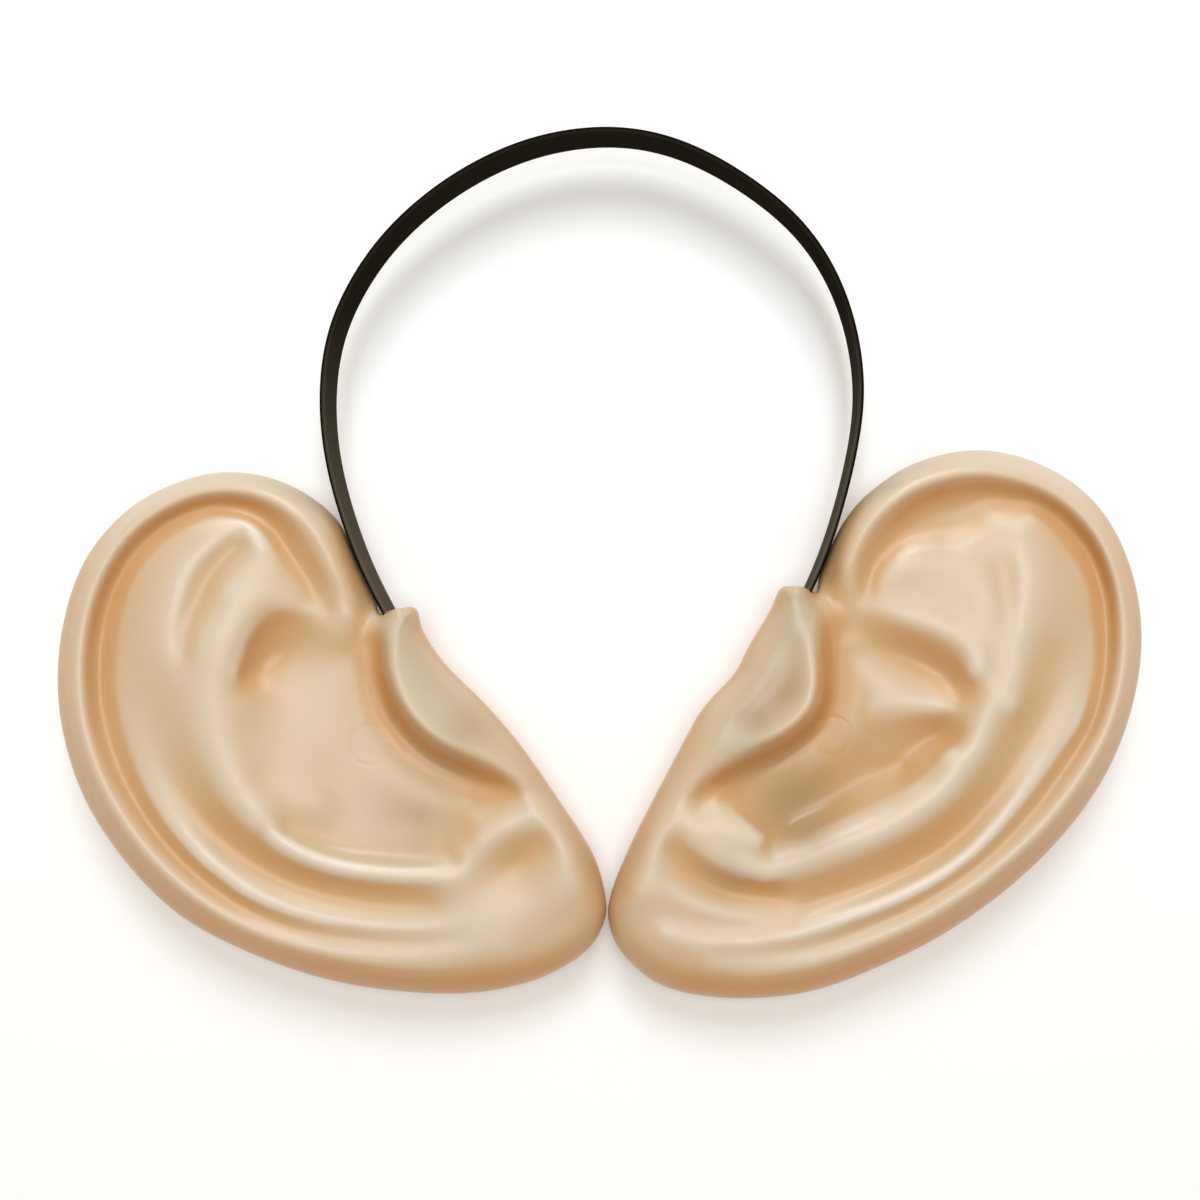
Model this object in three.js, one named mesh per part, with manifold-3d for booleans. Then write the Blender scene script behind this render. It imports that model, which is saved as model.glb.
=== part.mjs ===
// Ear headband: two oversized moulded vinyl ears on a thin plastic headband, lying on their open backs.
// Millimetres. +Z is up from the table, +Y runs to the crown of the band and +X to the right-hand ear.
// The origin is on the table, under the middle of the whole outline.
import * as THREE from 'three';
import Module from 'manifold-3d';

const wasm = await Module();
wasm.setup();

// How the charts are read: x and y are as seen from an eye straight above, z is above the table
const EYE_HEIGHT = 380; // height of the eye over the table
const CHART_HEIGHT = 15; // height at which a distance on the chart is the true one
const MIDDLE_X = -0.1; // middle of the whole outline, from the point under the eye
const MIDDLE_Y = 8.3;

// Vinyl shell of an ear
const WALL = 2.2; // thickness of the moulded wall
const EDGE_TURN = 3; // radius of the softest turn of the skin along the outline
const FOLD_EASE = 0.1; // how loosely the skin follows its fold lines
const PIN_SPACING = 3; // distance between the points that hold the skin to a fold line
const EDGE_PIN_SPACING = 6; // the same along the outline

// Headband strip
const BAND_WIDTH = 13; // across the strip, standing up from the table
const BAND_THICKNESS = 1.4;
const BAND_TOP = 20.5; // height of its upper edge
const BAND_LEAN = 3; // degrees that the strip leans to the left
const BAND_CORNER = 0.4; // bevel along its long edges
const SLOT_GAP = 0.35; // room around the strip where it enters an ear
const SLOT_REACH = 24; // length of the entry, from outside the ear into its pocket

// Facets
const STEPS_PER_EDGE_ROW = 2;
const STEPS_PER_BAND_ROW = 2;
const RINGS = [
  0, 0.012, 0.04, 0.075, 0.11, 0.145, 0.18, 0.22, 0.26, 0.31, 0.37, 0.44, 0.52, 0.6, 0.69, 0.79, 0.9,
]; // each ring of the skin, as a share of the way from the edge to the middle of the ear

// Side wall rows, from under the edge to the table: how far it has drawn in, and its share of the edge height
const SIDE_WALL = [
  { tuck: 0.8, height: 0.62 },
  { tuck: 2.6, height: 0.3 },
  { tuck: 5.5, height: 0 },
];

// Outline rows: x, y, edge height, radius of the turn over the edge
// Fold rows: the name of the fold, the radius of its softest turn, and the x, y and height of points along it
const LEFT_EAR = {
  middle: [-80, -32.5],
  outline: [
    [-57, -4.2, 18, 3], [-54, -2.8, 22.5, 2.5], [-50, -2, 22.5, 2.5], [-46.2, -2.2, 19, 3.5],
    [-44.2, -8, 16, 7], [-38.8, -16, 16, 8], [-28.8, -26, 15.5, 8], [-20, -36.2, 14.5, 8],
    [-10, -50.5, 13.5, 7.5], [-2, -63, 12, 7], [1.2, -73.2, 11, 7], [1, -80.5, 11, 7],
    [-3.8, -88, 11, 7], [-15, -94.5, 11, 7], [-30, -98, 11, 7], [-47.5, -98, 12, 7],
    [-67.5, -95, 12, 7], [-87.5, -88.2, 13, 7], [-105, -78.8, 13, 7], [-118.8, -65.2, 14, 7],
    [-129.5, -48.2, 14, 7], [-135, -28.8, 15, 7], [-134.8, -9.2, 15, 7], [-129, 9.5, 16, 7],
    [-117.5, 23, 16, 7], [-102.5, 30.5, 16, 7], [-88.8, 31.8, 16, 7], [-76.2, 28, 16, 7],
    [-66.2, 20.5, 15, 7], [-60.8, 10, 14, 7], [-57.2, 1.2, 14, 5],
  ],
  folds: [
    { fold: 'helix crest', turn: 2.5, line: [
      [-62, -1, 21.3], [-66.5, 9, 23.6], [-74, 20.5, 25], [-83, 27, 25.5], [-100, 28.2, 25.5],
      [-118.8, 17.8, 25.5], [-128.2, 0, 25.2], [-130.5, -20, 25], [-127, -40, 24.8], [-118, -56, 24.3],
      [-104, -71, 23.6], [-87.5, -82, 22.9], [-66, -88, 22.3], [-45, -89.5, 21.8], [-25, -88, 21.2],
    ] },
    { fold: 'groove inside the helix', turn: 2, line: [
      [-67.5, -2, 20.7], [-73.8, 5.5, 20.8], [-80, 15, 21], [-87.5, 22.2, 21.1], [-100, 22.9, 21],
      [-112.5, 16, 20.8], [-122.8, 0.5, 20.6], [-125.8, -19, 20.7], [-122.8, -36.5, 21.2], [-115.8, -51, 21.3],
      [-101, -68.2, 21.1], [-91, -75.2, 21], [-75, -82.4, 20.9], [-50, -85, 21], [-34, -84.4, 21.3],
    ] },
    { fold: 'inner bank of the groove', turn: 2, line: [
      [-74.6, 3.2, 21.7], [-82.4, 12.4, 23.1], [-86.4, 17.6, 23.3], [-95, 20.6, 22.9], [-105.3, 17.6, 22.2],
      [-114.5, 9.6, 21.8], [-120.4, -7, 21.9], [-120.4, -25, 22.5], [-116, -40.5, 23], [-107.5, -56.2, 23.2],
      [-93.8, -69.8, 23], [-86.4, -74.8, 22.8], [-70, -80.2, 22.2], [-50, -82.4, 21.8], [-36, -82, 21.6],
    ] },
    { fold: 'outer edge of the upper crus', turn: 1.5, line: [
      [-89.6, 17.8, 23.2], [-99, 12, 24.4], [-104.4, 5.4, 25.1], [-107.2, -8, 25.4], [-105.8, -21, 25.5],
    ] },
    { fold: 'channel along the upper crus', turn: 2, line: [
      [-90.6, 13.4, 23], [-96, 7.6, 23.4], [-99.6, 1, 24], [-103.6, -14, 25.3],
    ] },
    { fold: 'antihelix crest', turn: 2, line: [
      [-83, 11.8, 23.3], [-91, 6, 24.7], [-95.8, -2.4, 25.5], [-100.8, -14, 26.1], [-100.8, -26, 26],
      [-96.4, -42, 25.5], [-87, -55.4, 24.9], [-77, -61.6, 24.5], [-60, -66.9, 23.5], [-42, -68.2, 22.6],
      [-36, -67.6, 22.2],
    ] },
    { fold: 'edge of the lower crus', turn: 1.5, line: [
      [-71.4, -2.6, 21.6], [-78, -1.6, 22.7], [-83.5, -3.9, 23.2], [-87.6, -9.2, 23.7], [-91.2, -20, 24.5],
    ] },
    { fold: 'foot of the wall under the lower crus', turn: 1.5, line: [
      [-69.6, -7, 19.8], [-77, -11.4, 18.9], [-81.2, -13.8, 18.9], [-85.5, -16.4, 19.8], [-88.6, -18.8, 21.8],
    ] },
    { fold: 'slope into the concha', turn: 3, line: [
      [-88, -26, 23.6], [-87, -35, 23.6], [-84.4, -44, 23.4],
    ] },
    { fold: 'floor of the concha', turn: 3, line: [
      [-78, -19.5, 19.6], [-74, -37, 20.8], [-68, -45, 20.2], [-58, -53, 19.2], [-47, -57, 18.9],
      [-39.5, -57, 19.2],
    ] },
    { fold: 'foot of the concha edge', turn: 1.5, line: [
      [-78.6, -57.2, 23], [-65, -63.3, 21.4], [-45, -64.9, 20.4], [-37, -64.2, 20.4],
    ] },
    { fold: 'floor beside the tragus', turn: 3, line: [
      [-62.4, -11, 19.7], [-62, -29, 19.2], [-51, -45, 18.6], [-32, -51.6, 19.6],
    ] },
    { fold: 'root of the helix', turn: 2.5, line: [[-61.8, -4, 21.2], [-66, -12, 19.2]] },
    { fold: 'tragus lip', turn: 1.5, line: [
      [-51, -4.2, 24.6], [-52, -10, 25.8], [-51.3, -17.5, 26.9], [-48.9, -24.6, 27.4], [-44.4, -30.6, 27.4],
      [-38, -35.6, 26.7], [-30.8, -38.9, 25.5], [-19, -44.8, 23.2],
    ] },
    { fold: 'foot of the tragus wall', turn: 1.5, line: [
      [-55, -9, 20.8], [-54.8, -19.5, 18.1], [-49.4, -31.6, 17.2], [-40.2, -39.6, 17.4], [-28.6, -44.8, 19],
      [-18.6, -48, 21.6],
    ] },
    { fold: 'dish of the tragus', turn: 3, line: [
      [-48, -12, 25.2], [-46.6, -18, 26], [-43.4, -24, 26.2], [-32.4, -32.8, 25],
    ] },
    { fold: 'antitragus', turn: 2.2, line: [
      [-29.5, -59.8, 22.4], [-23.8, -56.4, 22.9], [-16.2, -53.2, 22.9],
    ] },
    { fold: 'top of the antitragus step', turn: 1.6, line: [[-31, -53.6, 20.5], [-34, -63.4, 21.4]] },
    { fold: 'foot of the antitragus step', turn: 1.6, line: [[-32.8, -52.8, 19.8], [-36, -62, 20.5]] },
    { fold: 'dimple above the lobe', turn: 2.4, line: [
      [-30.5, -71, 21], [-22, -65.5, 19.3], [-14.2, -60.8, 20.8],
    ] },
    { fold: 'valley under the antihelix', turn: 3, line: [
      [-112.6, -24, 23.8], [-109, -38, 22.8], [-101.4, -51.5, 21.8], [-91.4, -62, 20.9], [-78.5, -68.8, 20.3],
      [-65, -72.8, 20.1], [-43, -75, 20.5],
    ] },
    { fold: 'swell of the lobe', turn: 3, line: [
      [-11.5, -54.8, 22.6], [-7, -63.8, 22.2], [-5.6, -72, 21.6],
    ] },
    { fold: 'middle of the lobe', turn: 3, line: [[-32, -77, 21.4], [-15, -77, 21.2]] },
  ],
};
const RIGHT_EAR = {
  middle: [80, -32.5],
  outline: [
    [55.5, 2, 18, 3], [51.5, 3, 22.5, 2.5], [48.2, 3.5, 22.5, 2.5], [45.2, 2.8, 19, 3.5],
    [42.5, -2.8, 16, 7], [37.5, -11.2, 16, 8], [33.8, -18.2, 16, 8], [28, -24.5, 16, 8],
    [24.2, -29.5, 15.5, 8], [18.8, -39.5, 14.5, 8], [12.5, -51.5, 13.5, 7.5], [7, -62.5, 12, 7],
    [2.8, -73.2, 11, 7], [2.2, -80.5, 11, 7], [5.5, -88.2, 11, 7], [13.8, -95.5, 11, 7],
    [25, -98.8, 11, 7], [38.8, -99.5, 12, 7], [53.8, -97.5, 12, 7], [70, -91.5, 12, 7],
    [87.5, -82.5, 13, 7], [105, -69.5, 13, 7], [118.8, -55, 14, 7], [128.8, -38.8, 14, 7],
    [134.5, -20, 15, 7], [135, -2.5, 15, 7], [130.5, 13.8, 16, 7], [122, 26.2, 16, 7],
    [108.8, 34.5, 16, 7], [93.8, 37.5, 16, 7], [78.8, 34.2, 16, 7], [67.5, 27, 16, 7],
    [61.5, 20.2, 15, 7], [58, 12.5, 14, 7], [55.8, 6, 14, 5],
  ],
  folds: [
    { fold: 'helix crest', turn: 2.5, line: [
      [61, 2.5, 21], [62, 11, 23.4], [68, 21, 25], [78, 29, 25.5], [94, 33.8, 25.5], [111.2, 29.2, 25.5],
      [123.5, 17.8, 25.5], [131, -3, 25.2], [131.2, -20, 25], [125.5, -37, 24.6], [113.5, -54.5, 24],
      [100, -66.8, 23.4], [85, -77, 22.8], [70, -85, 22.3], [50, -91, 21.8], [32, -90.6, 21.4], [18, -87, 21],
    ] },
    { fold: 'groove inside the helix', turn: 2, line: [
      [66.6, 1, 20.5], [68.5, 9, 20.5], [74.6, 18.8, 20.9], [83.2, 25.2, 21], [95.5, 26.6, 20.9],
      [108.8, 23.9, 20.9], [118.7, 17.6, 20.8], [125.3, 7, 20.6], [127.1, -10, 20.5], [124.8, -25, 20.8],
      [116.5, -41.5, 21.3], [102.6, -58.8, 21.6], [90, -69.4, 21.6], [75, -77.8, 21.4], [58, -84.8, 21.3],
      [38, -88.4, 21.5], [28, -88.4, 21.4],
    ] },
    { fold: 'inner bank of the groove', turn: 2, line: [
      [107.6, 21.6, 22.4], [112, 18.8, 22], [118.3, 11.4, 21.5], [123.8, -4, 21.3], [122.6, -24, 21.9],
      [114.6, -38, 22.8], [103.4, -52.2, 23.1], [91, -64.8, 23], [76.2, -73.8, 22.9], [57.5, -81.2, 22.3],
      [40, -85.2, 21.9], [16, -83.6, 21.5],
    ] },
    { fold: 'ramp beside the groove', turn: 1.5, line: [
      [72, 11.6, 20.4], [82, 16.2, 20], [93, 17.6, 20.3], [97, 20.6, 20.7],
    ] },
    { fold: 'edge of the fossa', turn: 1.5, line: [
      [68.6, 2.7, 20.9], [72.2, 9.6, 21.6], [80.4, 13.5, 21.9], [91.2, 14, 22.5], [97.4, 18.6, 22.5],
      [104.4, 21.6, 22.8],
    ] },
    { fold: 'floor of the fossa', turn: 3, line: [[77, 6.6, 22], [86, 5, 22.4], [88, -1, 22.8]] },
    { fold: 'outer edge of the upper crus', turn: 1.5, line: [
      [105.6, 18, 23.6], [106.5, 7, 24.9], [105.4, -8, 25.5], [102.6, -26, 25.6],
    ] },
    { fold: 'channel along the upper crus', turn: 2, line: [
      [100.4, 10, 23], [101.4, 0, 24.1], [102.2, -7, 24.9],
    ] },
    { fold: 'antihelix crest', turn: 2, line: [
      [91.6, 12.2, 22.8], [96, 5.6, 23.7], [99, -4.6, 24.7], [99.4, -14, 25.3], [96.2, -29, 25.9],
      [90, -43.8, 25.4], [77.5, -55.6, 24.6], [62.5, -62.8, 23.9], [47.5, -67.8, 23], [42.4, -69.2, 22.5],
    ] },
    { fold: 'edge of the lower crus', turn: 2, line: [
      [68, -2.4, 21], [79, -5.4, 22.6], [90.6, -12.4, 24.2], [94, -17.4, 24.9],
    ] },
    { fold: 'foot of the wall under the lower crus', turn: 1.5, line: [
      [62.6, -10.6, 19.3], [73.7, -12.8, 18.6], [84, -17.4, 19], [91, -24, 22],
    ] },
    { fold: 'root of the helix', turn: 3, line: [[64, -17, 19.2], [72.5, -19.6, 19.6], [86, -24.2, 21]] },
    { fold: 'edge of the root', turn: 2.6, line: [[65, -27, 19.5], [81, -28, 20.7], [88, -27, 21.8]] },
    { fold: 'upper floor of the concha', turn: 3, line: [
      [66, -39, 17.7], [80, -35.6, 17.6], [85.6, -34, 18.9],
    ] },
    { fold: 'floor of the concha', turn: 3, line: [
      [76, -43, 17.9], [66, -47, 17], [57, -52, 16.4], [47.5, -56, 16.7],
    ] },
    { fold: 'lower edge of the concha', turn: 1.5, line: [
      [43, -61.4, 20.2], [62.5, -54.4, 20.5], [76.2, -47.4, 21.2], [87.4, -38, 22.9],
    ] },
    { fold: 'floor beside the tragus', turn: 3, line: [
      [62.6, -10, 19.2], [62, -30, 18.1], [55, -40.4, 17.2], [44.8, -46.8, 16.9], [35.6, -49.8, 18.2],
    ] },
    { fold: 'tragus lip', turn: 1.5, line: [
      [50, 0.5, 24.4], [52.4, -10, 26.2], [53, -20, 27.4], [50.4, -27.8, 27.5], [43.6, -33.4, 26.4],
      [34, -38, 24.9], [22, -47.4, 22.4],
    ] },
    { fold: 'foot of the tragus wall', turn: 1.5, line: [
      [56.2, -6.4, 20.2], [57, -17, 18.2], [56.4, -26.8, 17.5], [50.2, -34.6, 16.9], [41, -40, 17.2],
      [31.6, -45, 18.8], [24.2, -49.6, 21],
    ] },
    { fold: 'dish of the tragus', turn: 2.2, line: [
      [48.2, -11, 25.2], [48.6, -20.4, 25.7], [42, -26.2, 25], [37.6, -28.4, 24.6],
    ] },
    { fold: 'antitragus', turn: 2, line: [[20.6, -54, 22.4], [24.4, -57.6, 22.9], [34.6, -63.6, 22.9]] },
    { fold: 'lower edge of the antitragus', turn: 1.5, line: [
      [22, -60.6, 22.3], [28.8, -65.2, 22.5], [35, -68, 22.5], [41, -69.4, 22.3],
    ] },
    { fold: 'top of the antitragus step', turn: 1.5, line: [[29, -50.6, 21.2], [40.2, -59.4, 21.5]] },
    { fold: 'foot of the antitragus step', turn: 1.5, line: [
      [30.6, -49.2, 20], [38.4, -54.8, 19.2], [41, -57.8, 19.5],
    ] },
    { fold: 'dimple above the lobe', turn: 2, line: [
      [18.6, -61.5, 21], [24.2, -69, 19.5], [30, -72, 19.1], [43.8, -73.6, 19.2],
    ] },
    { fold: 'ridge across the lobe', turn: 3, line: [
      [16.6, -70, 21.7], [22.5, -74.4, 21.4], [30, -77.4, 21.2], [50, -78, 20.4],
    ] },
    { fold: 'crease across the lobe', turn: 2.5, line: [
      [12.5, -77.6, 20.9], [25, -81.4, 20.8], [37.5, -82.2, 20.9],
    ] },
    { fold: 'valley under the antihelix', turn: 3, line: [
      [114, -14, 22.6], [105, -37.5, 21.4], [98, -49.6, 20.8], [88.5, -60.6, 20.3], [77, -67, 20],
      [53, -74, 19.5],
    ] },
    { fold: 'swell of the lobe', turn: 3, line: [[14, -57.5, 22.2], [12, -65.5, 21.9], [9, -72.5, 21.5]] },
  ],
};

// Band rows: x and y of its outer upper edge, from the tip in the left ear over the crown to the right
const BAND_LINE = [
  [-37, -31], [-42.2, -24], [-48.8, -14], [-54.8, -3], [-60, 6.8], [-64.8, 19.5], [-68.8, 33.8], [-70.5, 49.5],
  [-68.8, 66.2], [-63, 79.8], [-53.8, 92.8], [-40, 104.8], [-25, 113.2], [-12.5, 117.2], [0, 118.8],
  [12.5, 117.8], [25, 113.5], [37.5, 106.2], [50, 96.2], [58.8, 83.8], [64.2, 69.5], [66.5, 53], [65, 40],
  [61.8, 25.8], [57.5, 12], [53.2, 2], [47.5, -9], [41.2, -21.2], [34.5, -35],
];

// A row beyond either end of an open table mirrors the end rows; a closed table runs round
function rowAt(rows, index, closed) {
  const count = rows.length;
  if (closed) return rows[(index + count) % count];
  if (index < 0) return rows[0].map((value, column) => 2 * value - rows[1][column]);
  if (index >= count) return rows[count - 1].map((value, column) => 2 * value - rows[count - 2][column]);
  return rows[index];
}

// Smooth line through the rows of a table, with every column carried along
function lineThrough(rows, closed, steps) {
  const spans = closed ? rows.length : rows.length - 1;
  const line = [];
  for (let span = 0; span < spans; span += 1) {
    const [before, from, to, after] = [-1, 0, 1, 2].map((offset) => rowAt(rows, span + offset, closed));
    for (let step = 0; step < steps; step += 1) {
      const t = step / steps;
      line.push(from.map((value, column) => {
        const slopeIn = (to[column] - before[column]) / 2;
        const slopeOut = (after[column] - value) / 2;
        const rise = to[column] - value;
        const bend = 3 * rise - 2 * slopeIn - slopeOut;
        const twist = slopeIn + slopeOut - 2 * rise;
        return value + t * (slopeIn + t * (bend + t * twist));
      }));
    }
  }
  if (!closed) line.push(rows[rows.length - 1].slice());
  return line;
}

// Points at even distances along a line, with every column carried along
function spaced(line, spacing) {
  const reach = [0];
  for (let i = 1; i < line.length; i += 1) {
    reach.push(reach[i - 1] + Math.hypot(line[i][0] - line[i - 1][0], line[i][1] - line[i - 1][1]));
  }
  const total = reach[reach.length - 1];
  const count = Math.max(1, Math.round(total / spacing));
  const points = [];
  let span = 0;
  for (let k = 0; k <= count; k += 1) {
    const want = (total * k) / count;
    while (span < line.length - 2 && reach[span + 1] < want) span += 1;
    const t = (want - reach[span]) / (reach[span + 1] - reach[span]);
    points.push(line[span].map((value, column) => value + t * (line[span + 1][column] - value)));
  }
  return points;
}

// Unknowns of a square set of equations, by elimination with the largest pivot
function solved(matrix, values) {
  const size = values.length;
  const rows = matrix.map((row, i) => Float64Array.from([...row, values[i]]));
  for (let column = 0; column < size; column += 1) {
    let best = column;
    for (let i = column + 1; i < size; i += 1) {
      if (Math.abs(rows[i][column]) > Math.abs(rows[best][column])) best = i;
    }
    [rows[column], rows[best]] = [rows[best], rows[column]];
    for (let i = column + 1; i < size; i += 1) {
      const share = rows[i][column] / rows[column][column];
      for (let k = column; k <= size; k += 1) rows[i][k] -= share * rows[column][k];
    }
  }
  const unknowns = new Float64Array(size);
  for (let i = size - 1; i >= 0; i -= 1) {
    let rest = rows[i][size];
    for (let k = i + 1; k < size; k += 1) rest -= rows[i][k] * unknowns[k];
    unknowns[i] = rest / rows[i][i];
  }
  return unknowns;
}

// Distance from a point to a closed outline, and the edge radius at the nearest place
function nearestEdge(outline, x, y) {
  let best = { distance: Infinity, radius: 0 };
  outline.forEach((from, i) => {
    const to = outline[(i + 1) % outline.length];
    const [dx, dy] = [to[0] - from[0], to[1] - from[1]];
    const along = ((x - from[0]) * dx + (y - from[1]) * dy) / (dx * dx + dy * dy);
    const t = Math.min(1, Math.max(0, along));
    const distance = Math.hypot(x - from[0] - t * dx, y - from[1] - t * dy);
    if (distance < best.distance) best = { distance, radius: from[3] + t * (to[3] - from[3]) };
  });
  return best;
}

// Height of the skin: a soft sheet pinned to every fold line, turned down in a quarter round at its edge
function skinOf(ear) {
  const outline = lineThrough(ear.outline, true, 8);
  const edgePins = spaced([...outline, outline[0]], EDGE_PIN_SPACING).slice(0, -1);
  const pins = edgePins.map(([x, y, z, radius]) => [x, y, z + radius, EDGE_TURN]);
  ear.folds.forEach(({ turn, line }) => {
    spaced(lineThrough(line, false, 12), PIN_SPACING).forEach((point) => pins.push([...point, turn]));
  });
  const reach = (x, y, pin) => Math.hypot(x - pin[0], y - pin[1], pin[3]);
  const matrix = pins.map(([x, y], i) => {
    const row = pins.map((pin) => reach(x, y, pin));
    row[i] -= FOLD_EASE;
    return [...row, 1];
  });
  matrix.push([...pins.map(() => 1), 0]);
  const weights = solved(matrix, [...pins.map((pin) => pin[2]), 0]);
  return (x, y) => {
    const sheet = pins.reduce((sum, pin, i) => sum + weights[i] * reach(x, y, pin), weights[pins.length]);
    const { distance, radius } = nearestEdge(outline, x, y);
    const short = Math.max(0, radius - distance);
    return sheet - radius + Math.sqrt(radius * radius - short * short);
  };
}

// How much a chart distance grows or shrinks at a height
const chartScale = (height) => (EYE_HEIGHT - height) / (EYE_HEIGHT - CHART_HEIGHT);

// A chart point in the part's own frame, drawn to the scale of one height and put at another
function settled(x, y, scaleHeight, z) {
  const scale = chartScale(scaleHeight);
  return [x * scale - MIDDLE_X, y * scale - MIDDLE_Y, z];
}

// An outline point moved in along its spoke until it is a given distance inside the edge
function drawnIn(outline, index, middle, distance) {
  const count = outline.length;
  const [x, y] = outline[index];
  const next = outline[(index + 1) % count];
  const last = outline[(index + count - 1) % count];
  const tangent = new THREE.Vector2(next[0] - last[0], next[1] - last[1]).normalize();
  const spoke = new THREE.Vector2(middle[0] - x, middle[1] - y).normalize();
  const squareness = Math.max(0.5, Math.abs(tangent.cross(spoke)));
  return [x + (spoke.x * distance) / squareness, y + (spoke.y * distance) / squareness];
}

// The lower side of the wall: the deepest that a ball of the wall's radius hangs under the skin
function undersideAt(skin, x, y) {
  let depth = skin(x, y) - WALL;
  [0.55, 0.95].forEach((share) => {
    const drop = WALL * Math.sqrt(1 - share * share);
    for (let k = 0; k < 8; k += 1) {
      const turn = (k * Math.PI) / 4;
      const around = skin(x + WALL * share * Math.cos(turn), y + WALL * share * Math.sin(turn));
      depth = Math.min(depth, around - drop);
    }
  });
  return depth;
}

// Rings of points joined in order into one closed skin, each patch folded along its shorter diagonal
function solidOfRings(firstPole, rings, lastPole) {
  const around = rings[0].length;
  const points = [firstPole, ...rings.flat(), lastPole];
  const last = points.length - 1;
  const apart = (a, b) => Math.hypot(...points[a].map((value, axis) => value - points[b][axis]));
  const index = [];
  for (let i = 0; i < around; i += 1) {
    const next = (i + 1) % around;
    index.push(0, 1 + i, 1 + next);
    for (let ring = 0; ring < rings.length - 1; ring += 1) {
      const [a, b] = [1 + ring * around, 1 + (ring + 1) * around];
      if (apart(a + i, b + next) < apart(a + next, b + i)) {
        index.push(a + i, b + i, b + next, a + i, b + next, a + next);
      } else {
        index.push(a + i, b + i, a + next, b + i, b + next, a + next);
      }
    }
    const end = 1 + (rings.length - 1) * around;
    index.push(last, end + next, end + i);
  }
  const mesh = new wasm.Mesh({
    numProp: 3,
    vertProperties: Float32Array.from(points.flat()),
    triVerts: Uint32Array.from(index),
  });
  return new wasm.Manifold(mesh);
}

// One ear: skin, side wall and open back, as a shell of even thickness
function earSolid(ear) {
  const skin = skinOf(ear);
  const outline = lineThrough(ear.outline, true, STEPS_PER_EDGE_ROW);
  const area = outline.reduce((sum, [x, y], i) => {
    const next = outline[(i + 1) % outline.length];
    return sum + x * next[1] - next[0] * y;
  }, 0);
  if (area < 0) outline.reverse();
  const [cx, cy] = ear.middle;
  const inner = outline.map((row, i) => drawnIn(outline, i, ear.middle, WALL));
  const toward = ([x, y], share) => [x + share * (cx - x), y + share * (cy - y)];
  const front = RINGS.map((share) => outline.map((row) => {
    const [x, y] = toward(row, share);
    const z = share === 0 ? row[2] : skin(x, y);
    return settled(x, y, z, z);
  }));
  const back = RINGS.map((share) => inner.map((row) => {
    const [x, y] = toward(row, share);
    return settled(x, y, skin(x, y), undersideAt(skin, x, y));
  }));
  const sideWall = (tuck, heightShare) => outline.map((row, i) => {
    const [x, y] = drawnIn(outline, i, ear.middle, tuck);
    return settled(x, y, row[2], row[2] * heightShare);
  });
  const rings = [
    ...front.reverse(),
    ...SIDE_WALL.map(({ tuck, height }) => sideWall(tuck, height)),
    ...SIDE_WALL.map(({ tuck, height }) => sideWall(tuck + WALL, height)).reverse(),
    ...back,
  ];
  const topHeight = skin(cx, cy);
  const top = settled(cx, cy, topHeight, topHeight);
  const under = settled(cx, cy, topHeight, undersideAt(skin, cx, cy));
  return solidOfRings(top, rings, under);
}

// Strip swept along part of the band's line; room is added all round for the entry slots
function stripSolid(line, room) {
  const lean = THREE.MathUtils.degToRad(BAND_LEAN);
  const up = new THREE.Vector3(-Math.sin(lean), 0, Math.cos(lean));
  const [halfWidth, halfThick] = [BAND_WIDTH / 2 + room, BAND_THICKNESS / 2 + room];
  const section = [
    [halfThick - BAND_CORNER, -halfWidth], [BAND_CORNER - halfThick, -halfWidth],
    [-halfThick, BAND_CORNER - halfWidth], [-halfThick, halfWidth - BAND_CORNER],
    [BAND_CORNER - halfThick, halfWidth], [halfThick - BAND_CORNER, halfWidth],
    [halfThick, halfWidth - BAND_CORNER], [halfThick, BAND_CORNER - halfWidth],
  ];
  const path = line.map(([x, y]) => new THREE.Vector3(...settled(x, y, BAND_TOP, BAND_TOP)));
  const centres = [];
  const rings = path.map((point, i) => {
    const ahead = path[Math.min(i + 1, path.length - 1)];
    const behind = path[Math.max(i - 1, 0)];
    const run = new THREE.Vector3().subVectors(ahead, behind).normalize();
    const out = new THREE.Vector3(-run.y, run.x, 0);
    const centre = point.clone().addScaledVector(out, -BAND_THICKNESS / 2).addScaledVector(up, -BAND_WIDTH / 2);
    centres.push(centre.toArray());
    return section.map(([across, high]) => (
      centre.clone().addScaledVector(out, across).addScaledVector(up, high).toArray()
    ));
  });
  return solidOfRings(centres[0], rings, centres[centres.length - 1]);
}

// Part of the band's line around the place where it enters an ear
function entryLine(line, entryY) {
  return line.filter(([, y]) => y < entryY + SLOT_REACH / 4 && y > entryY - (3 * SLOT_REACH) / 4);
}

// A named mesh with its own material
function piece(name, solid, material) {
  const { vertProperties, triVerts } = solid.getMesh();
  const geometry = new THREE.BufferGeometry();
  geometry.setAttribute('position', new THREE.BufferAttribute(vertProperties, 3));
  geometry.setIndex(new THREE.BufferAttribute(triVerts, 1));
  geometry.computeVertexNormals();
  const mesh = new THREE.Mesh(geometry, material);
  mesh.name = name;
  return mesh;
}

const vinyl = () => new THREE.MeshStandardMaterial({ color: 0xe6c3a0, roughness: 0.45, metalness: 0 });
const blackPlastic = new THREE.MeshStandardMaterial({ color: 0x1d1b1a, roughness: 0.35, metalness: 0 });

const bandLine = lineThrough(BAND_LINE, false, STEPS_PER_BAND_ROW);
const leftRun = bandLine.slice(0, bandLine.length / 2);
const rightRun = bandLine.slice(bandLine.length / 2);
const leftSlot = stripSolid(entryLine(leftRun, LEFT_EAR.outline[1][1]), SLOT_GAP);
const rightSlot = stripSolid(entryLine(rightRun, RIGHT_EAR.outline[1][1]), SLOT_GAP);

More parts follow.
